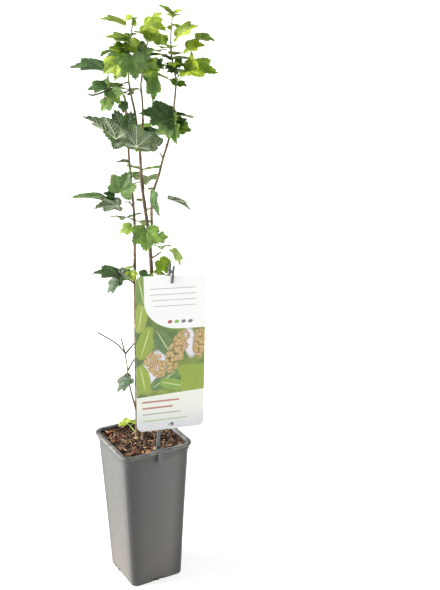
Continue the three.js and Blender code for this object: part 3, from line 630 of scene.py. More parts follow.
def addFlake(heap, draw, x, y, length, width, thick, kind, lift=0.3, facing=None):
    # a bowed flake of bark, turned at random unless it has a bearing
    yaw, pitch, roll = draw.uniform(0, 6.28), draw.normal(0, 0.28), draw.normal(0, 0.35)
    if facing is not None:
        yaw, pitch, roll = math.radians(facing), 0.3 * pitch, 0.5 * roll
    ahead = np.array([math.cos(yaw) * math.cos(pitch), math.sin(yaw) * math.cos(pitch), math.sin(pitch)])
    flat = unit(np.cross([0, 0, 1], ahead))
    above = np.cross(ahead, flat)
    side = flat * math.cos(roll) + above * math.sin(roll)
    above = above * math.cos(roll) - flat * math.sin(roll)
    corners = soilSizes["flakeCorners"]
    angles = np.linspace(0, 2 * math.pi, corners, endpoint=False) + draw.uniform(-0.25, 0.25, corners)
    reach = draw.uniform(0.75, 1.1, corners)
    outline = np.outer(np.cos(angles) * reach * length / 2, ahead)
    outline = outline + np.outer(np.sin(angles) * reach * width / 2, side)
    bow = np.outer((np.cos(angles) ** 2) * draw.uniform(-0.12, 0.2) * length, above)
    middle = np.array([x, y, float(soilHeight(x, y)) + lift + 0.25 * abs(math.sin(pitch)) * length])
    low = middle + outline + bow - above * thick / 2
    high = middle + outline * 0.86 + bow + above * thick / 2
    heap.addRings([low, high], kind)


def makeSoil():
    draw = np.random.default_rng(soilSizes["seed"])
    heap = Heap()
    addSoilBed(heap, draw)
    reach = innerHalf(soilSizes["level"]) - 2.5
    shortest, longer, power = soilSizes["chipLength"]
    for _ in range(soilSizes["chips"]):
        x, y = roundSquare(*draw.uniform(-reach, reach, 2))
        length = shortest + longer * draw.random() ** power
        width, thick = length * draw.uniform(0.3, 0.7), draw.uniform(0.6, 1.6)
        addFlake(heap, draw, x, y, length, width, thick, chipKinds[draw.choice(4, p=soilSizes["chipMix"])])
    for _ in range(soilSizes["slivers"]):
        x, y = roundSquare(*draw.uniform(-reach, reach, 2))
        length, width, thick = draw.uniform(4, 12), draw.uniform(0.4, 0.9), draw.uniform(0.4, 0.8)
        kind = chipKinds[draw.choice(4, p=soilSizes["sliverMix"])]
        addFlake(heap, draw, x, y, length, width, thick, kind, soilSizes["sliverLift"])
    for x, y, length, width, yaw, kind in soilSizes["strips"]:
        addFlake(heap, draw, x, y, length, width, 1.1, kind, 0.9, yaw)
    # compost flakes in the drain notches: compost that shows through them, set dark to stand in for the shade
    # inside the notches
    for side in range(4):
        shift = 0 if side % 2 == 0 else potSizes["drainOffset"]
        for _ in range(soilSizes["notchFlakes"]):
            spot = [shift + draw.uniform(-8.5, 8.5), draw.uniform(1.2, 2.4) - potSizes["baseHalf"], 0]
            x, y, _ = spin(np.array(spot), side * math.pi / 2)
            length, width, thick = draw.uniform(3, 5), draw.uniform(1.8, 2.6), draw.uniform(1.2, 2)
            lift = draw.uniform(1.3, 3.6) - float(soilHeight(x, y))
            addFlake(heap, draw, x, y, length, width, thick, "soilBed", lift)
    makePiece("soilBedAndChips", heap, ["soil"], turn=0, sharp=32)
    print("soil made:", len(heap.faces), "faces")


makeSoil()


# stems and boughs

limbs = {
    "stem_main": {
        "points": ((2, 0, 235), (4, 0, 262), (9, 0, 340), (16, 0, 440), (19, 0, 507), (16, 0, 569),
                   (8, 0, 644), (6, 0, 696), (3, 0, 730)),
        "thick": 4, "thin": 1.9, "flare": 2.4, "sides": 22, "bark": "oldBark", "seed": 3,
    },
    "stem_left": {
        "points": ((-9, 6, 235), (-9, 6, 262), (-8, 5, 340), (-7, 5, 440), (-6, 5, 520), (-5, 5, 598),
                   (-9, 5, 660), (-11, 5, 710), (-13, 5, 768)),
        "thick": 3, "thin": 1.4, "flare": 2, "sides": 20, "bark": "oldBark", "seed": 8,
    },
    "bough_right": {
        "points": ((17, 0, 543), (20, 6, 570), (22, 8, 625), (32, 5, 657), (39, 3, 683), (46, 0, 705),
                   (52, 0, 730), (56, 0, 760), (59, 0, 788)),
        "thick": 2.1, "thin": 1.3, "flare": 0, "sides": 16, "bark": "youngBark", "seed": 15,
    },
    "bough_crown_left": {
        "points": ((3, 0, 730), (0, -2, 754), (-4, -3, 775), (-7, -3, 795)),
        "thick": 1.8, "thin": 1.3, "flare": 0, "sides": 14, "bark": "youngBark", "seed": 21,
    },
    "bough_crown_middle": {
        "points": ((5, 0, 712), (10, 5, 728), (11, 9, 755), (9, 9, 788)),
        "thick": 1.6, "thin": 1.2, "flare": 0, "sides": 14, "bark": "youngBark", "seed": 27,
    },
    "bough_low": {
        "points": ((-9, 6, 274), (-11, 0, 290), (-15, -2, 309), (-18, -2, 325)),
        "thick": 1.5, "thin": 1.2, "flare": 0, "sides": 14, "bark": "youngBark", "seed": 33,
    },
}
barkRelief = {
    "ringStep": 1.5, "flareFade": 9, "furrows": 0.05, "grain": 0.035,
    "firstKnot": (12, 30), "knotStep": 38, "knotRise": 0.45, "knotLength": 2.6, "knotTurn": 2.4, "bareEnd": 8,
    "budLength": (2.6, 1.1), "budWidth": 1.5, "budSpread": 0.55,
}
budShape = {
    "shares": np.array([0, 0.18, 0.42, 0.68, 0.88, 1.0]),
    "widths": np.array([0.55, 0.95, 1.0, 0.72, 0.35, 0.06]),
    # length and width of the buds on a mass
    "twigTip": (2.2, 1.1), "twigBend": (2.4, 1.3), "leafFoot": (2.8, 1.5),
}


def addBud(heap, foot, toward, length, width, kind="bud"):
    line = foot + np.outer(budShape["shares"] * length, unit(toward))
    heap.addTube(line, width / 2 * budShape["widths"], 7, kind)


def makeLimb(name, limb):
    # a tapered limb with bark relief, a swelling at each knot and a bud on it
    draw = np.random.default_rng(limb["seed"])
    curve = smoothCurve(limb["points"])
    length = alongLine(curve, [0])[1]
    count = int(length / barkRelief["ringStep"])
    shares = np.linspace(0, 1, count + 1)
    line = alongLine(curve, shares)[0]
    across, above = lineFrames(line)
    sides = limb["sides"]
    angles = np.arange(sides) * 2 * math.pi / sides
    distance = (shares * length)[:, None]
    swell = limb["flare"] * np.exp(-distance / barkRelief["flareFade"])
    radius = limb["thick"] + (limb["thin"] - limb["thick"]) * shares[:, None] + swell
    phases = draw.uniform(0, 6.28, 6)
    turn = angles[None, :]
    # long furrows that wander round the limb, then a fine grain
    wander = 5 * turn + phases[0] + 1.1 * np.sin(distance / 27 + phases[1])
    furrows = (np.sin(wander) * (0.6 + 0.4 * np.sin(distance / 11 + phases[2]))
               + 0.6 * np.sin(9 * turn + phases[3] - distance / 19) * np.sin(distance / 7 + phases[4]))
    grain = draw.normal(0, 1, (count + 1, sides))
    grain = (grain + np.roll(grain, 1, axis=0) + np.roll(grain, 2, axis=0) + np.roll(grain, 1, axis=1)) / 2
    size = radius * (1 + barkRelief["furrows"] * furrows + barkRelief["grain"] * grain)
    knots = []
    spot, facing = draw.uniform(*barkRelief["firstKnot"]), draw.uniform(0, 6.28)
    while spot < length - barkRelief["bareEnd"]:
        near = np.exp(-((distance - spot) / barkRelief["knotLength"]) ** 2)
        size = size + barkRelief["knotRise"] * near * (0.35 + np.exp(2.2 * (np.cos(turn - facing) - 1)))
        knots.append((spot / length, facing))
        spot += barkRelief["knotStep"] * draw.uniform(0.75, 1.25)
        facing += barkRelief["knotTurn"] + draw.uniform(-0.3, 0.3)
    rings = [middle + np.outer(reach * np.cos(angles), a) + np.outer(reach * np.sin(angles), b)
             for middle, reach, a, b in zip(line, size, across, above)]
    if limb["flare"]:
        rings[0][:, 2] = line[0][2]
    heap = Heap()
    heap.addRings(rings, limb["bark"])
    for share, facing in knots:
        row = int(round(share * count))
        out = across[row] * math.cos(facing) + above[row] * math.sin(facing)
        grow = unit(out * barkRelief["budSpread"] + np.array([0, 0, 1.0]))
        reach = float(radius[row, 0])
        shortest, longer = barkRelief["budLength"]
        length = shortest + longer * draw.random()
        addBud(heap, line[row] + out * reach * 0.75, grow, length, barkRelief["budWidth"])
    makePiece(name.replace("_", "") + "Bark", heap, [name], sharp=70)


for name, limb in limbs.items():
    makeLimb(name, limb)
print("limbs made:", len(limbs))


# leaves

leafShape = {
    # angle from the tip's line and reach as a share of the length; veins and branches are angles and shares
    "mature": {
        "outline": ((0, 1.01), (6, 0.955), (13, 0.86), (21, 0.755), (28, 0.78), (36, 0.86), (42, 0.89),
                    (49, 0.84), (58, 0.7), (68, 0.58), (77, 0.56), (87, 0.595), (96, 0.6), (107, 0.49),
                    (124, 0.31), (145, 0.18), (167, 0.08)),
        "veins": (-92, -41, 0, 41, 92), "branches": (0.2, 0.34, 0.48, 0.62, 0.75, 0.87),
        "toothStep": 8, "teeth": 21,
    },
    "young": {
        "outline": ((0, 1.01), (9, 0.93), (18, 0.8), (26, 0.74), (36, 0.78), (46, 0.85), (54, 0.87),
                    (64, 0.78), (78, 0.63), (96, 0.54), (115, 0.39), (140, 0.22), (167, 0.08)),
        "veins": (-55, 0, 55), "branches": (0.3, 0.55, 0.78), "toothStep": 11, "teeth": 15,
    },
    "youngLength": 24, "plainLength": 32,
    # the blade's form, as shares of its length, with the spans that the random draws lie in
    "fold": 0.3, "ribRound": 0.03, "curl": 0.2, "curlSpan": (0.85, 1.2), "pleat": 0.115, "fullPleat": 40,
    "pleatAngle": 24, "wave": 0.026, "waveSpan": (5, 8), "droopSpan": (-0.03, 0.05), "thickness": 0.42,
    "rings": np.array((0.13, 0.29, 0.45, 0.6, 0.74, 0.87, 1.0)), "toothDepth": 0.085,
    "toothEnd": 165, "toothFade": 35, "stalkEnd": 166,
    # angle, bend and step of the side veins, then where main and side veins end, their widths as a share of
    # the blade and a least width, how far they stand out and the blade's length from which they are full
    "veinPitch": 42, "veinCurve": 1.5, "veinStep": 0.045, "mainEnd": 0.93, "branchEnd": 0.94,
    "mainWide": (0.017, 0.15), "branchWide": (0.008, 0.1), "mainProud": 0.011, "branchProud": 0.006,
    "fullVeins": 44,
    "stalkThick": 0.95, "stalkThin": 0.62, "stalkArch": 0.1, "stalkBend": 0.55,
    "stalkFoot": (0.7, 14), "stalkHead": (0.35, 18), "twigRadii": (1.25, 0.85),
}
veinWidths = {"pale": (1.8, 3.1), "dim": (1.4, 3.0), "deep": (1.2, 1.5)}  # main and side veins
for form in (leafShape["mature"], leafShape["young"]):
    form["line"] = smoothCurve([(angle, 60 * reach, 0) for angle, reach in form["outline"]], 10) / (1, 60, 1)


def reachAt(form, angle):
    return np.interp(np.abs(angle), form["line"][:, 0], form["line"][:, 1])


def leafSurface(foot, rib, up, length, veins, draw):
    # the blade: folded at its middle rib, curled at the tips, pleated between veins and waved at the edge
    across = np.cross(up, rib)
    curl = leafShape["curl"] * draw.uniform(*leafShape["curlSpan"])
    pleat = leafShape["pleat"] * min(1, length / leafShape["fullPleat"])
    phase, waves = draw.uniform(0, 6.28), draw.uniform(*leafShape["waveSpan"])
    droop = draw.uniform(*leafShape["droopSpan"])
    ribRound = leafShape["ribRound"] * length

    def surface(along, aside, lift=0.0):
        reach = np.hypot(along, aside) / length
        angle = np.degrees(np.arctan2(aside, along))
        away = np.min(np.abs(angle[..., None] - veins), axis=-1)
        crease = np.sin(np.clip(away / leafShape["pleatAngle"], 0, 1) * math.pi / 2) ** 2
        height = leafShape["fold"] * (np.sqrt(aside ** 2 + ribRound ** 2) - ribRound)
        height = height - curl * length * reach ** 2 + droop * aside
        height = height + pleat * length * crease * reach * (1.25 - reach)
        height = height + leafShape["wave"] * length * reach ** 3 * np.sin(np.radians(angle) * waves + phase)
        return foot + along[..., None] * rib + aside[..., None] * across + (height + lift)[..., None] * up

    return surface


def addBlade(blades, surface, form, length, tint):
    # rings of spots from the stalk's end to the toothed edge, above and below
    step = form["toothStep"]
    angles = np.arange(-form["teeth"] * step, 0.1, step / 4)
    angles = np.concatenate([angles, -angles[-2::-1]])
    angles = angles[np.abs(angles) <= leafShape["stalkEnd"]]
    tooth = np.abs(np.cos(math.pi * angles / step)) ** 0.7 - 0.72
    fade = np.clip((leafShape["toothEnd"] - np.abs(angles)) / leafShape["toothFade"], 0, 1)
    plain = reachAt(form, angles)
    toothed = plain * (1 + leafShape["toothDepth"] * tooth * fade)
    rings = leafShape["rings"][:, None]
    reach = rings * (plain + (toothed - plain) * rings ** 5) * length
    along, aside = reach * np.cos(np.radians(angles)), reach * np.sin(np.radians(angles))
    half, zero = leafShape["thickness"] / 2, np.zeros(1)
    spots = []
    for lift in (half, -half):
        spots += [surface(zero, zero, lift), surface(along, aside, lift).reshape(-1, 3)]
    under = 1 + along.size
    index = 1 + np.arange(along.size).reshape(along.shape)
    top = [[0, int(a), int(b)] for a, b in zip(index[0, :-1], index[0, 1:])] + gridFaces(index.T)
    rim = [0, *index[:, 0].tolist(), *index[-1, 1:].tolist(), *index[-2::-1, -1].tolist()]
    faces = top + [[corner + under for corner in face][::-1] for face in top]
    faces += [[a, under + a, under + b, b] for a, b in zip(rim, rim[1:] + rim[:1])]
    kinds = [tint + "Top"] * len(top) + [tint + "Under"] * (len(top) + len(rim))
    blades.add(np.concatenate(spots), faces, kinds)


def addVein(blades, surface, line, wide, proud, tint):
    # a slim ridge that stands out a little above the blade and more below it
    size = np.linspace(1, 0.3, len(line))
    ahead = np.gradient(line, axis=0)
    ahead /= np.linalg.norm(ahead, axis=1)[:, None]
    square = np.stack([-ahead[:, 1], ahead[:, 0]], axis=1) * (size * wide / 2)[:, None]
    left, right = line + square, line - square
    half = leafShape["thickness"] / 2
    corners = [surface(*left.T, 0 * size), surface(*line.T, half + 0.3 * proud * size),
               surface(*right.T, 0 * size), surface(*line.T, -half - proud * size)]
    last = 4 * (len(line) - 1)
    faces, kinds = [], []
    for here in range(0, last, 4):
        for corner, kind in enumerate(("VeinTop", "VeinTop", "VeinUnder", "VeinUnder")):
            beyond = (corner + 1) % 4
            faces.append([here + corner, here + 4 + corner, here + 4 + beyond, here + beyond])
            kinds.append(tint + kind)
    faces += [[0, 1, 2, 3], [last + 3, last + 2, last + 1, last]]
    kinds += [tint + "VeinUnder"] * 2
    blades.add(np.stack(corners, axis=1).reshape(-1, 3), faces, kinds)


def branchLine(form, start, vein, hand, length, gap):
    # a side vein, which bends toward the tip and ends at the edge or half way to the next main vein
    line, end = [start], leafShape["branchEnd"] * length
    for step in range(12):
        aim = math.radians(vein + hand * (leafShape["veinPitch"] - leafShape["veinCurve"] * step))
        spot = line[-1] + leafShape["veinStep"] * length * np.array([math.cos(aim), math.sin(aim)])
        angle = math.degrees(math.atan2(spot[1], spot[0]))
        if abs(angle - vein) > gap * 1.02 or np.hypot(*spot) > end * reachAt(form, angle):
            break
        line.append(spot)
    return np.array(line)[::2] if len(line) > 5 else np.array(line)


def addVeins(blades, surface, form, veins, length, tint):
    gap = np.diff(veins).min() / 2
    small = min(1, length / leafShape["fullVeins"])
    bold, fine = veinWidths.get(tint, (1.35, 1.35))
    share, least = leafShape["mainWide"]
    bold *= small * (share * length + least)
    share, least = leafShape["branchWide"]
    fine *= small * (share * length + least)
    mainProud, branchProud = leafShape["mainProud"] * length, leafShape["branchProud"] * length
    branches = form["branches"] if length >= leafShape["plainLength"] else leafShape["young"]["branches"]
    for vein in veins:
        main = leafShape["mainEnd"] * float(reachAt(form, vein)) * length
        way = np.array([math.cos(math.radians(vein)), math.sin(math.radians(vein))])
        addVein(blades, surface, np.outer(np.linspace(0.01, 1, 6) * main, way), bold, mainProud, tint)
        for share in branches:
            for hand in (-1, 1):
                line = branchLine(form, share * main * way, vein, hand, length, gap)
                if len(line) > 2:
                    addVein(blades, surface, line, fine, branchProud, tint)


def growLeaf(blades, stalks, node, item, tint, draw):
    length = item["blade"][2]
    form = leafShape["young" if length < leafShape["youngLength"] else "mature"]
    veins = np.array(form["veins"], float)
    reach = heading(*item["stalk"])
    foot = node + reach
    rib = unit(heading(*item["blade"]))
    up = heading(*item["face"])
    up = unit(up - rib * up.dot(rib))
    surface = leafSurface(foot, rib, up, length, veins, draw)
    addBlade(blades, surface, form, length, tint)
    addVeins(blades, surface, form, veins, length, tint)
    # the stalk arches a little, and is broader at its foot and at the blade
    bend = node + reach * leafShape["stalkBend"] + (0, 0, item["stalk"][2] * leafShape["stalkArch"])
    line = smoothCurve([node, bend, foot + rib * 0.4], 5)
    shares = np.linspace(0, 1, len(line))
    thick = leafShape["stalkThick"] * (0.85 + 0.1 * min(1, length / 45))
    radii = thick / 2 + (leafShape["stalkThin"] - thick) / 2 * np.sin(shares * math.pi / 2)
    (footSwell, footFade), (headSwell, headFade) = leafShape["stalkFoot"], leafShape["stalkHead"]
    radii = radii * (1 + footSwell * np.exp(-shares * footFade) + headSwell * np.exp((shares - 1) * headFade))
    stalks.addTube(line, radii, 7, "stalkGreen" if tint in ("fresh", "spring") else "stalkRed")


fanShape = {
    # whole spans of the turns, then a first value and how far a draw moves it
    "turn": 16, "bladeTurn": 30, "size": (0.85, 0.3), "stalkRise": (30, 25), "bladeRise": (15, -35),
}
finerShape = {
    "step": 137.5, "turn": (-25, 25), "stalkRise": (25, 60), "stalk": (7, 13), "bladeRise": (-30, 25),
    "blade": (9, 15), "along": (0.1, 0.95),
}
golden = 0.618  # spreads leaves evenly along a shoot


def fanLeaves(fan):
    # plain leaves spread along the shoot and over a span of bearings
    draw = randomStream(fan["seed"])

    def spread(key):
        first, move = fanShape[key]
        return first + move * draw()

    leaves = []
    for index in range(fan["count"]):
        share = index / (fan["count"] - 1) if fan["count"] > 1 else 0.5
        turn = between(fan["bearing"], share) + fanShape["turn"] * (draw() - 0.5)
        size = spread("size")
        stalk = (turn, spread("stalkRise"), fan["stalk"] * size)
        blade = (turn + fanShape["bladeTurn"] * (draw() - 0.5), spread("bladeRise"), fan["blade"] * size)
        at = between(fan["at"], index * golden % 1)
        leaves.append(leaf(at, stalk, blade))
    return leaves


def leaf(at, stalk, blade, face=(0, 90), tint=None):
    # at is a share of the shoot's length; stalk and blade are a bearing, a rise and a length
    return {"at": at, "stalk": stalk, "blade": blade, "face": face, "tint": tint}


def twig(at, stalk, blade):
    # a bare arm: out from the shoot, then on to its tip
    return {"at": at, "stalk": stalk, "blade": blade, "bare": True}


front, frontRight, leaning = (270, 15), (310, 20), (270, 77)  # ways that a blade faces

masses = {
    "foliage_top_right": {
        "points": ((59, 0, 787), (58, 0, 803), (55, 0, 818), (53, 0, 836), (53, 0, 860), (55, 0, 881)),
        "thick": 1.3, "thin": 0.9, "tint": "fresh", "finer": 5, "seed": 101,
        "leaves": [
            leaf(0.95, (180, 87, 7), (181, 49, 23), (280, 86)),
            leaf(0.98, (0, 82, 4), (359, 38, 18), (260, 86)),
            leaf(0.53, (321, 58, 24), (347, 36, 32), (290, 70)),
            leaf(0.8, (273, 76, 4), (195, 27, 7), (270, 60)),
            leaf(0.4, (227, 47, 32), (96, 53, 16), (270, 75), "spring"),
            leaf(0.03, (349, 64, 71), (358, 3, 24), (275, 78)),
            leaf(0.05, (325, 67, 54), (345, 17, 24), (290, 58)),
            leaf(0.05, (331, 37, 42), (209, 59, 22), (208, 24)),
            leaf(0.0, (329, 50, 30), (345, 6, 42), (270, 71), "fresh"),
            leaf(0.4, (250, -10, 4), (197, 35, 14), (270, 80), "deep"),
            leaf(0.4, (311, 7, 5), (1, 10, 23), (90, 82), "deep"),
            leaf(0.22, (257, 25, 6), (202, -8, 10), (270, 60), "mid"),
            leaf(0.04, (302, -1, 6), (344, -2, 13), (270, 72), "mid"),
            leaf(0.08, (260, -32, 6), (203, 44, 10), (270, 60), "mid"),
            leaf(0.2, (299, 2, 7), (212, 75, 15), (205, 15), "deep"),
            leaf(0.13, (246, 62, 19), (202, -6, 11), (270, 50), "deep"),
            leaf(0.3, (328, 47, 6), (354, -11, 13), (270, 55), "mid"),
            leaf(0.97, (80, 50, 6), (80, 8, 16)),
        ],
        "fan": {"count": 4, "at": (0.1, 0.5), "bearing": (40, 110), "stalk": 15, "blade": 24, "seed": 11},
    },
    "foliage_right_middle": {
        "points": ((52, 0, 731), (53, -5, 735), (55, -8, 740)),
        "thick": 1.2, "thin": 0.9, "tint": "mid", "finer": 3, "seed": 102,
        "leaves": [
            leaf(0.78, (239, 30, 10), (192, 24, 41), (270, 60), "deep"),
            leaf(0.4, (263, 17, 8), (205, -31, 25), (285, 30), "pale"),
            leaf(1, (293, -50, 3), (315, 82, 16), (205, 10), "spring"),
            leaf(0.62, (340, -6, 9), (350, 38, 14), (270, 55), "deep"),
            leaf(0.88, (331, -42, 13), (347, -5, 18), (285, 50), "spring"),
            leaf(0.52, (295, -10, 12), (250, -72, 24), (215, 12), "mid"),
        ],
        "fan": {"count": 3, "at": (0.2, 0.5), "bearing": (40, 115), "stalk": 18, "blade": 27, "seed": 23},
    },
    "foliage_right_low": {
        "points": ((39, 3, 682), (37, 1, 687), (35, -1, 691)),
        "thick": 1.1, "thin": 0.8, "tint": "pale", "finer": 0, "seed": 103,
        "leaves": [
            leaf(1, (212, 65, 13), (179, 37, 25), (95, 35)),
        ],
    },
    "foliage_crown_left": {
        "points": ((-7, -3, 794), (-6, -4, 824), (-4, -4, 841), (-2, -2, 857), (1, 0, 877)),
        "thick": 1.3, "thin": 0.8, "tint": "spring", "finer": 7, "seed": 104,
        "leaves": [
            leaf(0.62, (183, 69, 28), (188, 25, 32), (270, 86), "fresh"),
            leaf(1, (180, 61, 5), (195, -15, 11), (260, 70), "fresh"),
            leaf(0.62, (354, 49, 34), (343, -1, 29), (285, 62), "fresh"),
            leaf(0.98, (336, 37, 3), (293, -76, 9), (215, 15), "fresh"),
            leaf(0.5, (272, 72, 12), (192, 27, 34), (275, 82)),
            leaf(0.55, (274, 66, 10), (318, -44, 18), (270, 42)),
            leaf(0.42, (256, 19, 11), (202, -3, 30), (270, 50), "blue"),
            leaf(0.35, (265, 46, 12), (220, -41, 16), (250, 40), "deep"),
            leaf(0.3, (240, 7, 28), (207, -25, 23), (265, 40), "fresh"),
            leaf(0.2, (251, 17, 23), (213, -50, 20), (255, 28)),
            leaf(0.46, (235, 24, 12), (208, 21, 20), (270, 52), "spring"),
            leaf(1, (60, 30, 3), (70, 20, 8)),
        ],
        "fan": {"count": 5, "at": (0.15, 0.6), "bearing": (85, 145), "stalk": 18, "blade": 27, "seed": 31},
    },
    "foliage_crown_middle": {
        "points": ((9, 9, 787), (13, 9, 812), (17, 8, 832), (20, 8, 848)),
        "thick": 1.2, "thin": 0.8, "tint": "spring", "finer": 7, "seed": 105,
        "leaves": [
            leaf(0.95, (297, 42, 14), (194, 37, 16), (270, 62), "fresh"),
            leaf(0.98, (322, 21, 14), (53, 62, 15), (270, 60), "fresh"),
            leaf(0.8, (25, 72, 45), (7, 42, 12), (270, 70), "fresh"),
            leaf(0.62, (258, 14, 19), (349, 36, 21), (270, 50), "blue"),
            leaf(0.32, (254, 32, 48), (297, -65, 30), (280, 20), "blue"),
            leaf(0.3, (276, 22, 34), (338, -5, 24), (285, 38)),
            leaf(0.3, (315, 21, 32), (333, 51, 14), (270, 45), "deep"),
            leaf(0.1, (298, 16, 27), (319, -66, 32), (332, 12), "mid"),
            leaf(0.55, (254, 70, 17), (186, 49, 16), (270, 58), "spring"),
            leaf(0.98, (130, 60, 12), (130, 15, 18), tint="fresh"),
            leaf(0.4, (10, 0, 13), (15, 15, 19)),
        ],
        "fan": {"count": 4, "at": (0.05, 0.6), "bearing": (25, 70), "stalk": 20, "blade": 27, "seed": 47},
    },
    "foliage_left_side": {
        "points": ((-13, 5, 767), (-17, 2, 776), (-26, 0, 781), (-35, -2, 785)),
        "thick": 1.4, "thin": 0.8, "tint": "mid", "finer": 4, "seed": 106,
        "leaves": [
            leaf(0.12, (163, 52, 45), (188, 15, 51), (270, 84), "deep"),
            leaf(1, (219, 14, 6), (194, 3, 25), (270, 66), "deep"),
            leaf(0.96, (229, 47, 4), (157, 85, 15), (205, 15), "blue"),
            leaf(0.84, (210, -12, 31), (176, 20, 9), (90, 75), "pale"),
            twig(0.84, (210, -12, 30), (196, 8, 4)),
            leaf(0.91, (251, 4, 9), (196, -56, 16), (190, 10), "blue"),
            leaf(0.75, (268, 3, 16), (322, -55, 20), (235, 26)),
            leaf(0.66, (238, -45, 20), (206, -35, 18), (250, 42)),
            leaf(0.2, (279, -30, 15), (235, -67, 14), (235, 20), "deep"),
        ],
        "fan": {"count": 3, "at": (0.1, 0.5), "bearing": (80, 140), "stalk": 20, "blade": 28, "seed": 53},
    },
    "foliage_big_pair": {
        "points": ((-9, 5, 663), (-8, -2, 667), (-7, -6, 671)),
        "thick": 1.4, "thin": 1.1, "tint": "pale", "finer": 0, "seed": 107,
        "leaves": [
            leaf(1, (259, 74, 48), (173, 62, 43), (128, 10)),
            # this leaf takes "dim", the painted-shade copy of "pale"
            leaf(0.88, (233, 59, 56), (180, 46, 54), (45, 48), "dim"),
            leaf(0.76, (293, 52, 49), (289, 77, 38), (78, -12)),
            leaf(0.8, (200, 65, 11), (190, 12, 17), (90, 70)),
        ],
    },
    "foliage_back_upper": {
        "points": ((6, 1, 690), (4, 8, 696), (1, 14, 703)),
        "thick": 1.3, "thin": 0.9, "tint": "mid", "finer": 3, "seed": 108,
        "leaves": [
            leaf(1, (100, 45, 24), (95, 5, 40)),
            leaf(0.8, (40, 35, 26), (35, -5, 38), tint="deep"),
            leaf(0.9, (130, 42, 28), (128, 0, 32)),
        ],
        "fan": {"count": 2, "at": (0.4, 1), "bearing": (45, 100), "stalk": 14, "blade": 24, "seed": 67},
    },
    "foliage_middle_left": {
        "points": ((-6, 5, 610), (-8, -1, 615), (-10, -4, 620)),
        "thick": 1.3, "thin": 1, "tint": "mid", "finer": 1, "seed": 109,
        "leaves": [
            leaf(1, (241, 42, 31), (325, 65, 32), (265, 24), "blue"),
            leaf(0.8, (186, 7, 34), (186, 20, 51), (90, 79), "deep"),
            leaf(1, (206, -12, 19), (175, 5, 33), (75, 42), "pale"),
            leaf(0.7, (184, 23, 28), (194, 35, 15), (270, 70), "deep"),
        ],
    },
    "foliage_middle_right": {
        "points": ((12, 0, 607), (19, -3, 610), (26, -2, 614)),
        "thick": 1.3, "thin": 0.9, "tint": "mid", "finer": 0, "seed": 110,
        "leaves": [
            leaf(0.9, (287, 56, 26), (258, -79, 32), (200, 8), "deep"),
            leaf(1, (355, 21, 25), (358, -16, 33), (40, 52), "pale"),
        ],
    },
    "foliage_back_middle": {
        "points": ((9, 0, 632), (10, 8, 637), (9, 14, 643)),
        "thick": 1.3, "thin": 0.9, "tint": "mid", "finer": 2, "seed": 111,
        "leaves": [
            leaf(1, (95, 40, 24), (90, -5, 42)),
            leaf(0.8, (145, 25, 22), (150, -10, 34), tint="deep"),
            leaf(0.9, (75, 20, 20), (100, -25, 30)),
        ],
    },
    "foliage_front": {
        "points": ((16, 0, 567), (16, -6, 571), (16, -10, 575)),
        "thick": 1.3, "thin": 1, "tint": "mid", "finer": 1, "seed": 112,
        "leaves": [
            leaf(0.9, (262, 37, 19), (269, -65, 32), front),
            leaf(0.7, (345, -14, 18), (341, 16, 13), (270, 35)),
        ],
    },
    "foliage_back_lower": {
        "points": ((-5, 5, 566), (-8, 11, 570), (-10, 15, 575)),
        "thick": 1.3, "thin": 0.9, "tint": "mid", "finer": 1, "seed": 113,
        "leaves": [
            leaf(0.9, (245, 38, 3), (193, -13, 18), (265, 60), "spring"),
            leaf(1, (110, 35, 20), (110, -10, 36), tint="deep"),
            leaf(0.9, (60, 20, 20), (75, -20, 28)),
        ],
    },
    "foliage_low_right": {
        "points": ((17, 0, 532), (24, 2, 535), (32, 4, 540)),
        "thick": 1.3, "thin": 0.9, "tint": "spring", "finer": 0, "seed": 114,
        "leaves": [
            leaf(1, (354, 10, 19), (355, -54, 24), (48, 40)),
            leaf(0.7, (80, 25, 18), (85, -15, 26), tint="mid"),
        ],
    },
    "foliage_low_left": {
        "points": ((-6, 5, 490), (-12, 1, 497), (-18, -3, 501), (-26, -8, 501)),
        "thick": 1.4, "thin": 0.9, "tint": "mid", "finer": 2, "seed": 115,
        "leaves": [
            # these low leaves take "dark", painted shade
            leaf(1, (250, 49, 10), (186, 20, 39), (270, 86), "dark"),
            leaf(0.98, (258, 10, 7), (189, -34, 27), (205, 32), "dark"),
            leaf(0.4, (277, 58, 20), (306, -56, 14), (260, 30), "fresh"),
            leaf(0.9, (232, 53, 7), (7, 38, 19), (270, 65), "dark"),
            leaf(0.6, (110, 30, 18), (120, -10, 30)),
        ],
    },
    "foliage_above_card": {
        "points": ((19, 0, 500), (20, -6, 505), (21, -10, 510)),
        "thick": 1.3, "thin": 0.9, "tint": "spring", "finer": 2, "seed": 116,
        "leaves": [
            leaf(1, (350, 63, 25), (337, -46, 21), frontRight, "fresh"),
            leaf(0.8, (235, 30, 14), (200, -35, 15), front, "deep"),
            leaf(0.6, (20, 10, 12), (60, -10, 22)),
        ],
    },
    "foliage_low_shoot": {
        "points": ((-18, -2, 324), (-20, -2, 340), (-21, -2, 356), (-24, -2, 382)),
        "thick": 1.2, "thin": 0.8, "tint": "blue", "finer": 0, "seed": 117,
        "leaves": [
            # this leaf takes "dusk", painted shade
            leaf(0.08, (285, 60, 14), (200, -30, 27), (214, 59), "dusk"),
            twig(1, (190, 52, 20), (185, 35, 34)),
            twig(0.98, (135, 70, 16), (145, 70, 8)),
            twig(0.96, (30, 42, 24), (10, 40, 8)),
            twig(0.48, (40, 52, 16), (20, 50, 8)),
        ],
    },
    "foliage_foot": {
        "points": ((-9, 6, 239), (-16, 15, 243), (-22, 25, 244)),
        "thick": 1.1, "thin": 0.8, "tint": "fresh", "finer": 0, "seed": 118,
        "leaves": [
            leaf(1, (130, 10, 9), (155, 0, 16), leaning),
            leaf(0.9, (60, 25, 8), (60, 0, 13)),
        ],
    },
}


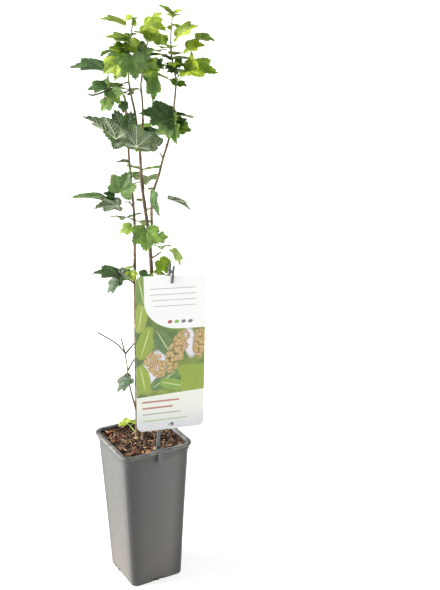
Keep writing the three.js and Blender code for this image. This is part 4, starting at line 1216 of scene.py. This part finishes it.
def finerLeaves(mass, draw):
    # small leaves from the same shoot, kept short so that they stay within the mass
    leaves = []
    for index in range(mass["finer"]):
        bearing = finerShape["step"] * index + draw.uniform(*finerShape["turn"])
        stalk = (bearing, draw.uniform(*finerShape["stalkRise"]), draw.uniform(*finerShape["stalk"]))
        turn = bearing + draw.uniform(*finerShape["turn"])
        blade = (turn, draw.uniform(*finerShape["bladeRise"]), draw.uniform(*finerShape["blade"]))
        leaves.append(leaf(between(finerShape["along"], index * golden % 1), stalk, blade))
    return leaves


def growTwig(stems, node, item, draw):
    # a bare arm with a bud at its bend and one at its tip
    foot = node + heading(*item["stalk"])
    tip = foot + heading(*item["blade"])
    path = smoothCurve([node, foot, tip], 6)
    radii = np.linspace(*leafShape["twigRadii"], len(path)) * (1 + 0.12 * draw.random(len(path)))
    stems.addTube(path, radii, 6, "darkShoot")
    addBud(stems, tip, tip - foot, *budShape["twigTip"])
    addBud(stems, foot, tip - foot + (0, 0, 9), *budShape["twigBend"])


def makeMass(name, mass):
    draw = np.random.default_rng(mass["seed"])
    blades, stems = Heap(), Heap()
    curve = smoothCurve(mass["points"])
    shares = np.linspace(0, 1, 6 * (len(mass["points"]) - 1) + 1)
    swellings = 0.12 * np.abs(np.sin(shares * 9)) ** 6
    radii = between((mass["thick"], mass["thin"]), shares) * (1 + swellings)
    low = "low" in name or "middle" in name
    stems.addTube(alongLine(curve, shares)[0], radii, 10, "youngBark" if low else "greenShoot")
    leaves = mass["leaves"] + (fanLeaves(mass["fan"]) if "fan" in mass else []) + finerLeaves(mass, draw)
    for item in leaves:
        node = alongLine(curve, [item["at"]])[0][0]
        if item.get("bare"):
            growTwig(stems, node, item, draw)
            continue
        growLeaf(blades, stems, node, item, item["tint"] or mass["tint"], draw)
        toward = heading(item["stalk"][0], 70)
        addBud(stems, node, toward, *budShape["leafFoot"], "bud" if low else "greenShoot")
    short = "".join(part.capitalize() for part in name.split("_")[1:])
    if blades.faces:
        slot = "young_leaf" if mass["tint"] == "fresh" else "leaf"
        makePiece("leaves" + short, blades, [name], sharp=55)
    makePiece("twigs" + short, stems, [name], sharp=80)
    return len(leaves), len(blades.faces)


counts = [makeMass(name, mass) for name, mass in masses.items()]
print("leaves made:", sum(count for count, _ in counts), "with", sum(faces for _, faces in counts), "faces")


# card

cardSizes = {
    "width": 102, "bottom": 278, "top": 523, "thickness": 0.8, "corner": 9, "away": -50,
    "middle": (45.5, 49.5), "turn": (14, 6),  # at the foot and at the head
    "middleHeight": 400,
    "pegHole": (2, 515), "lowHole": (0, 286), "holeRadius": 2.2, "rows": 46, "columns": 20,
}

cardPrint = {
    # ovals and drifts: right of the middle, up from the foot, half length, half width, tilt
    "haze": ((-24, 104, 26, 16, 70), (29, 140, 24, 9, 96)),
    "ovals": ((-37, 142, 27, 12, 72, "#7f962a"), (-10, 142, 25, 12, 118, "#33593d"),
              (-42, 86, 22, 11, 100, "#859c28"), (-10, 82, 24, 11, 35, "#3a6640"),
              (2, 74, 20, 9, 165, "#6d9434"), (-43, 182, 24, 10, 80, "#8ba03a"),
              (-41, 224, 24, 11, 100, "#5b7d38")),
    "drifts": ((9, 126, 36, 13, 66), (-22, 106, 22, 15, 118), (43, 138, 25, 10, 84)),
    "dotPitch": 6.2, "limeLeft": 15, "limeTop": 104, "footTop": 59,
    "bowX": 12, "bowY": 205, "bowLong": 49, "bowWide": 42, "holeShadeRadius": 3.0,
    # rules: height, left end, width, thickness
    "rules": ((226, -28, 66, 1.1, "#8c8e8e"), (217, -28, 66, 1.1, "#8c8e8e"), (208, -26, 64, 1.1, "#8c8e8e"),
              (199, -24, 62, 1.1, "#8c8e8e"), (48, -44, 56, 3.0, "#a04a40"), (38, -44, 46, 3.0, "#a04a40"),
              (28, -44, 58, 1.6, "#6f7f66"), (17, -44, 68, 1.8, "#8fb05a")),
    "marks": ((0, 174, "#a84a55"), (10, 174, "#7fae52"), (20, 174, "#6b6e6f"), (30, 174, "#6b6e6f")),
    "markLong": 3.6, "markWide": 2.6,
}


def onCard(aside, height, depth=0.0):
    # a place on the card's middle sheet, or in front of it by depth
    share = (height - cardSizes["bottom"]) / (cardSizes["top"] - cardSizes["bottom"])
    turn = math.radians(between(cardSizes["turn"], share))
    middle = between(cardSizes["middle"], share)
    return np.array([middle + aside * math.cos(turn) + depth * math.sin(turn),
                     cardSizes["away"] + aside * math.sin(turn) - depth * math.cos(turn), height])


def paintCardFace():
    finish = Finish("cardFace", 0.32)
    turn = math.radians(plantTurn + between(cardSizes["turn"], 0.5))
    way = (math.cos(turn), math.sin(turn), 0.0)
    centre = metres * spin(onCard(0, cardSizes["middleHeight"]), math.radians(plantTurn))
    # millimetres right of the card's middle and up from its foot
    across = (finish.along(way) - float(centre.dot(way))) * 1000
    up = finish.along((0.0, 0.0, 1.0)) * 1000 - cardSizes["bottom"]
    spot = finish.place()

    def oval(x, y, long, wide, tilt, soft=0.06):
        # 1 inside a tilted oval and 0 outside it
        cosine, sine = math.cos(math.radians(tilt)), math.sin(math.radians(tilt))
        first = (across * cosine + up * sine - (x * cosine + y * sine)) / long
        second = (up * cosine - across * sine - (y * cosine - x * sine)) / wide
        return 1 - (first * first + second * second).above(1.0, soft)

    # a mottled green ground with a pale hazy opening
    patches = finish.noise(spot, 24, 2)
    face = finish.mix(patches.above(0.5, 0.12), paint("#768a2f"), paint("#4c6a2f"))
    face = finish.mix(finish.noise(spot, 46, 2).above(0.6, 0.08) * 0.6, face, paint("#9fae4e"))
    for x, y, long, wide, tilt in cardPrint["haze"]:
        face = finish.mix(oval(x, y, long, wide, tilt, 0.45), face, paint("#d8d5de"))
    # plain oval leaves, each with a paler middle line
    for x, y, long, wide, tilt, colour in cardPrint["ovals"]:
        shade = finish.mix(finish.noise(spot, 90, 3) * 0.4, paint(colour), paint("#a9ba5c"))
        face = finish.mix(oval(x, y, long, wide, tilt), face, shade)
        face = finish.mix(oval(x, y, long * 0.86, 0.9, tilt, 0.3) * 0.6, face, paint("#dbe4a8"))
    # drifts of round golden dots, each with a light middle
    flat = finish.node("ShaderNodeCombineXYZ", {}, {0: across, 1: up})
    cluster = {"Vector": flat, "Scale": 1 / cardPrint["dotPitch"], "Randomness": 0.55}
    dots = finish.node("ShaderNodeTexVoronoi", {"voronoi_dimensions": "2D", "feature": "F1"}, cluster)
    bloom = finish.noise(spot, 130, 2)
    gold = finish.mix(bloom, paint("#a8834a"), paint("#dccb98"))
    for x, y, long, wide, tilt in cardPrint["drifts"]:
        drift = (oval(x, y, long, wide, tilt, 0.9) + bloom * 1.6 - 0.8).above(0.5, 0.08)
        face = finish.mix(drift * (1 - dots.above(0.62, 0.05)), face, paint("#8f6d3a"))
        face = finish.mix(drift * (1 - dots.above(0.42, 0.16)), face, gold)
        middle = (1 - dots.above(0.17, 0.05)) * bloom.above(0.52, 0.04)
        face = finish.mix(drift * middle, face, paint("#5d3f24"))
    # a lime block, then a plain pale panel across the foot and one with a bowed corner across the head
    lime = (across - cardPrint["limeLeft"]).above(0.0, 0.4)
    lime = lime * (1 - (up - cardPrint["limeTop"]).above(0.0, 0.4))
    face = finish.mix(lime, face, finish.mix(patches, paint("#7f9428"), paint("#8ea338")))
    foot = 1 - (up - cardPrint["footTop"] - across * 0.07).above(0.0, 0.3)
    face = finish.mix(foot, face, finish.mix(up.above(22.0, 22.0), paint("#c9cbcf"), paint("#dee1d8")))
    bowX, bowY, bowLong, bowWide = [cardPrint[key] for key in ("bowX", "bowY", "bowLong", "bowWide")]
    corner = oval(bowX, bowY, bowLong, bowWide, 0, 0.012)
    above = (up - bowY).above(0.0, 0.3) * (across - bowX + bowLong).above(0.0, 0.3)
    right = (across - bowX).above(0.0, 0.3) * (up - bowY + bowWide).above(0.0, 0.3)
    face = finish.mix(1 - (1 - corner) * (1 - above) * (1 - right), face, paint("#e6e8e7"))
    # thin ruled lines to write on, and a short row of small coloured ovals
    for height, left, width, thick, colour in cardPrint["rules"]:
        length = (across - left).above(0.0, 0.4) * (1 - (across - left - width).above(0.0, 0.4))
        stripe = 1 - (up - height - across * 0.02).unsigned().above(thick / 2, 0.3)
        face = finish.mix(length * stripe * 0.8, face, paint(colour))
    for x, y, colour in cardPrint["marks"]:
        face = finish.mix(oval(x, y, cardPrint["markLong"], cardPrint["markWide"], 20), face, paint(colour))
    # painted shade: a dark ring round the low hole, for the dark seen through it
    x, height = cardSizes["lowHole"]
    ring = oval(x, height - cardSizes["bottom"], cardPrint["holeShadeRadius"], cardPrint["holeShadeRadius"], 0)
    face = finish.mix(ring, face, paint("#232423"))
    faint = finish.noise(spot, 900, 2)
    finish.colour(finish.mix(faint * 0.05, face, paint("#8f9088")))
    finish.rough(finish.noise(spot, 60, 3) * 0.12 + 0.26)
    finish.bump(finish.noise(spot, 30, 2) + faint * 0.02, 0.0006)
    finishes["cardFace"] = finish


def paintCardBack():
    finish = Finish("cardBack", 0.4)
    spot = finish.place()
    finish.colour(finish.mix(finish.noise(spot, 45, 3), paint("#e9eae6"), paint("#dcddd8")))
    finish.bump(finish.noise(spot, 500, 3), 0.0002)
    finishes["cardBack"] = finish


def makeCard():
    corner, bottom, top = cardSizes["corner"], cardSizes["bottom"], cardSizes["top"]
    bend = np.linspace(0, math.pi / 2, 8)
    heights = list(bottom + corner * (1 - np.cos(bend)))
    heights += list(np.linspace(bottom + corner, top - corner, cardSizes["rows"])[1:-1])
    heights += list(top - corner * (1 - np.cos(bend[::-1])))
    spots = []
    for depth in (cardSizes["thickness"] / 2, -cardSizes["thickness"] / 2):
        for height in heights:
            rise = min(height - bottom, top - height)
            inset = corner - math.sqrt(max(0, corner ** 2 - (corner - rise) ** 2)) if rise < corner else 0
            reach = cardSizes["width"] / 2 - inset
            row = np.linspace(-reach, reach, cardSizes["columns"] + 1)
            spots += [onCard(aside, height, depth) for aside in row]
    under = len(spots) // 2
    index = np.arange(under).reshape(len(heights), -1)
    sheet, rim = gridFaces(index), gridRim(index)
    faces = sheet + [[spot + under for spot in face][::-1] for face in sheet]
    faces += [[b, a, under + a, under + b] for a, b in zip(rim, rim[1:] + rim[:1])]
    kinds = ["cardFace"] * len(sheet) + ["cardBack"] * (len(sheet) + len(rim))
    heap = Heap()
    heap.add(np.array(spots), faces, kinds)
    piece = makePiece("pictureCard", heap, ["label_card"], sharp=40)
    punches = Heap()
    for aside, height in (cardSizes["pegHole"], cardSizes["lowHole"]):
        line = np.array([onCard(aside, height, 6), onCard(aside, height, -6)])
        punches.addTube(line, cardSizes["holeRadius"], 20, "cardBack")
    carveAway(piece, punches, plantTurn, smooth=True)


paintCardFace()
paintCardBack()
makeCard()
print("card made")


# card holder

def makeHolder():
    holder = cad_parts["label_holder"]
    holder.data.materials.clear()
    holder.data.materials.append(finishes["holderPlastic"].material)
    soften = holder.modifiers.new("softEdges", "BEVEL")
    soften.width = 0.0004
    soften.segments = 2
    soften.limit_method = "ANGLE"
    soften.angle_limit = math.radians(40)


makeHolder()
print("holder finished")


# studio

studio = {
    "skyStrength": 0.5, "sunStrength": 9.6, "sunSpread": 34, "sunBearing": 152, "sunRise": 27,
    "sunColour": (1.0, 0.985, 0.96), "floorReach": 16, "floorDrop": 0.0004, "floorGlow": 0.74,
    "paperDark": "#bdbdbb", "paperLight": "#c4c4c2",
    "cameraPlace": (-0.6871, -1.4615, 1.0738), "pitchDown": 20.4, "azimuth": -29.46, "lens": 70.17,
}


def addToScene(name, data):
    thing = bpy.data.objects.new(name, data)
    bpy.context.scene.collection.objects.link(thing)
    return thing


def addFloor():
    # a lit table: pale paper that glows a little, so that the shadow on it stays soft and light
    mesh = bpy.data.meshes.new("studioFloor")
    reach = studio["floorReach"]
    corners = [(-reach, -reach, 0), (reach, -reach, 0), (reach, reach, 0), (-reach, reach, 0)]
    mesh.from_pydata(corners, [], [(0, 1, 2, 3)])
    glow = {"Emission Color": (1.0, 1.0, 1.0, 1.0), "Emission Strength": studio["floorGlow"]}
    paper = Finish("studioPaper", 0.8, **glow)
    tone = paper.noise(paper.place(), 3, 2)
    paper.colour(paper.mix(tone, paint(studio["paperDark"]), paint(studio["paperLight"])))
    mesh.materials.append(paper.material)
    floor = addToScene("studioFloor", mesh)
    floor.location.z = -studio["floorDrop"]


def addSky():
    world = bpy.data.worlds.new("studioSky")
    world.use_nodes = True
    sky = world.node_tree.nodes["Background"]
    sky.inputs["Color"].default_value = (1, 1, 1, 1)
    sky.inputs["Strength"].default_value = studio["skyStrength"]
    bpy.context.scene.world = world


def addSun():
    # a broad soft light from the left of the picture and a little behind the plant
    light = bpy.data.lights.new("keyLight", "SUN")
    light.energy = studio["sunStrength"]
    light.angle = math.radians(studio["sunSpread"])
    light.color = studio["sunColour"]
    lamp = addToScene("keyLight", light)
    lamp.rotation_euler = (0, math.radians(90 - studio["sunRise"]), math.radians(studio["sunBearing"]))


def addCamera():
    # the place and the lens that match the photo
    lens = bpy.data.cameras.new("photoView")
    lens.lens = studio["lens"]
    lens.sensor_width = 36
    camera = addToScene("photoView", lens)
    camera.location = studio["cameraPlace"]
    camera.rotation_euler = (math.radians(90 - studio["pitchDown"]), 0, math.radians(studio["azimuth"]))
    bpy.context.scene.camera = camera


addFloor()
addSky()
addSun()
addCamera()
bpy.context.scene.view_settings.view_transform = "Standard"
print("studio made")
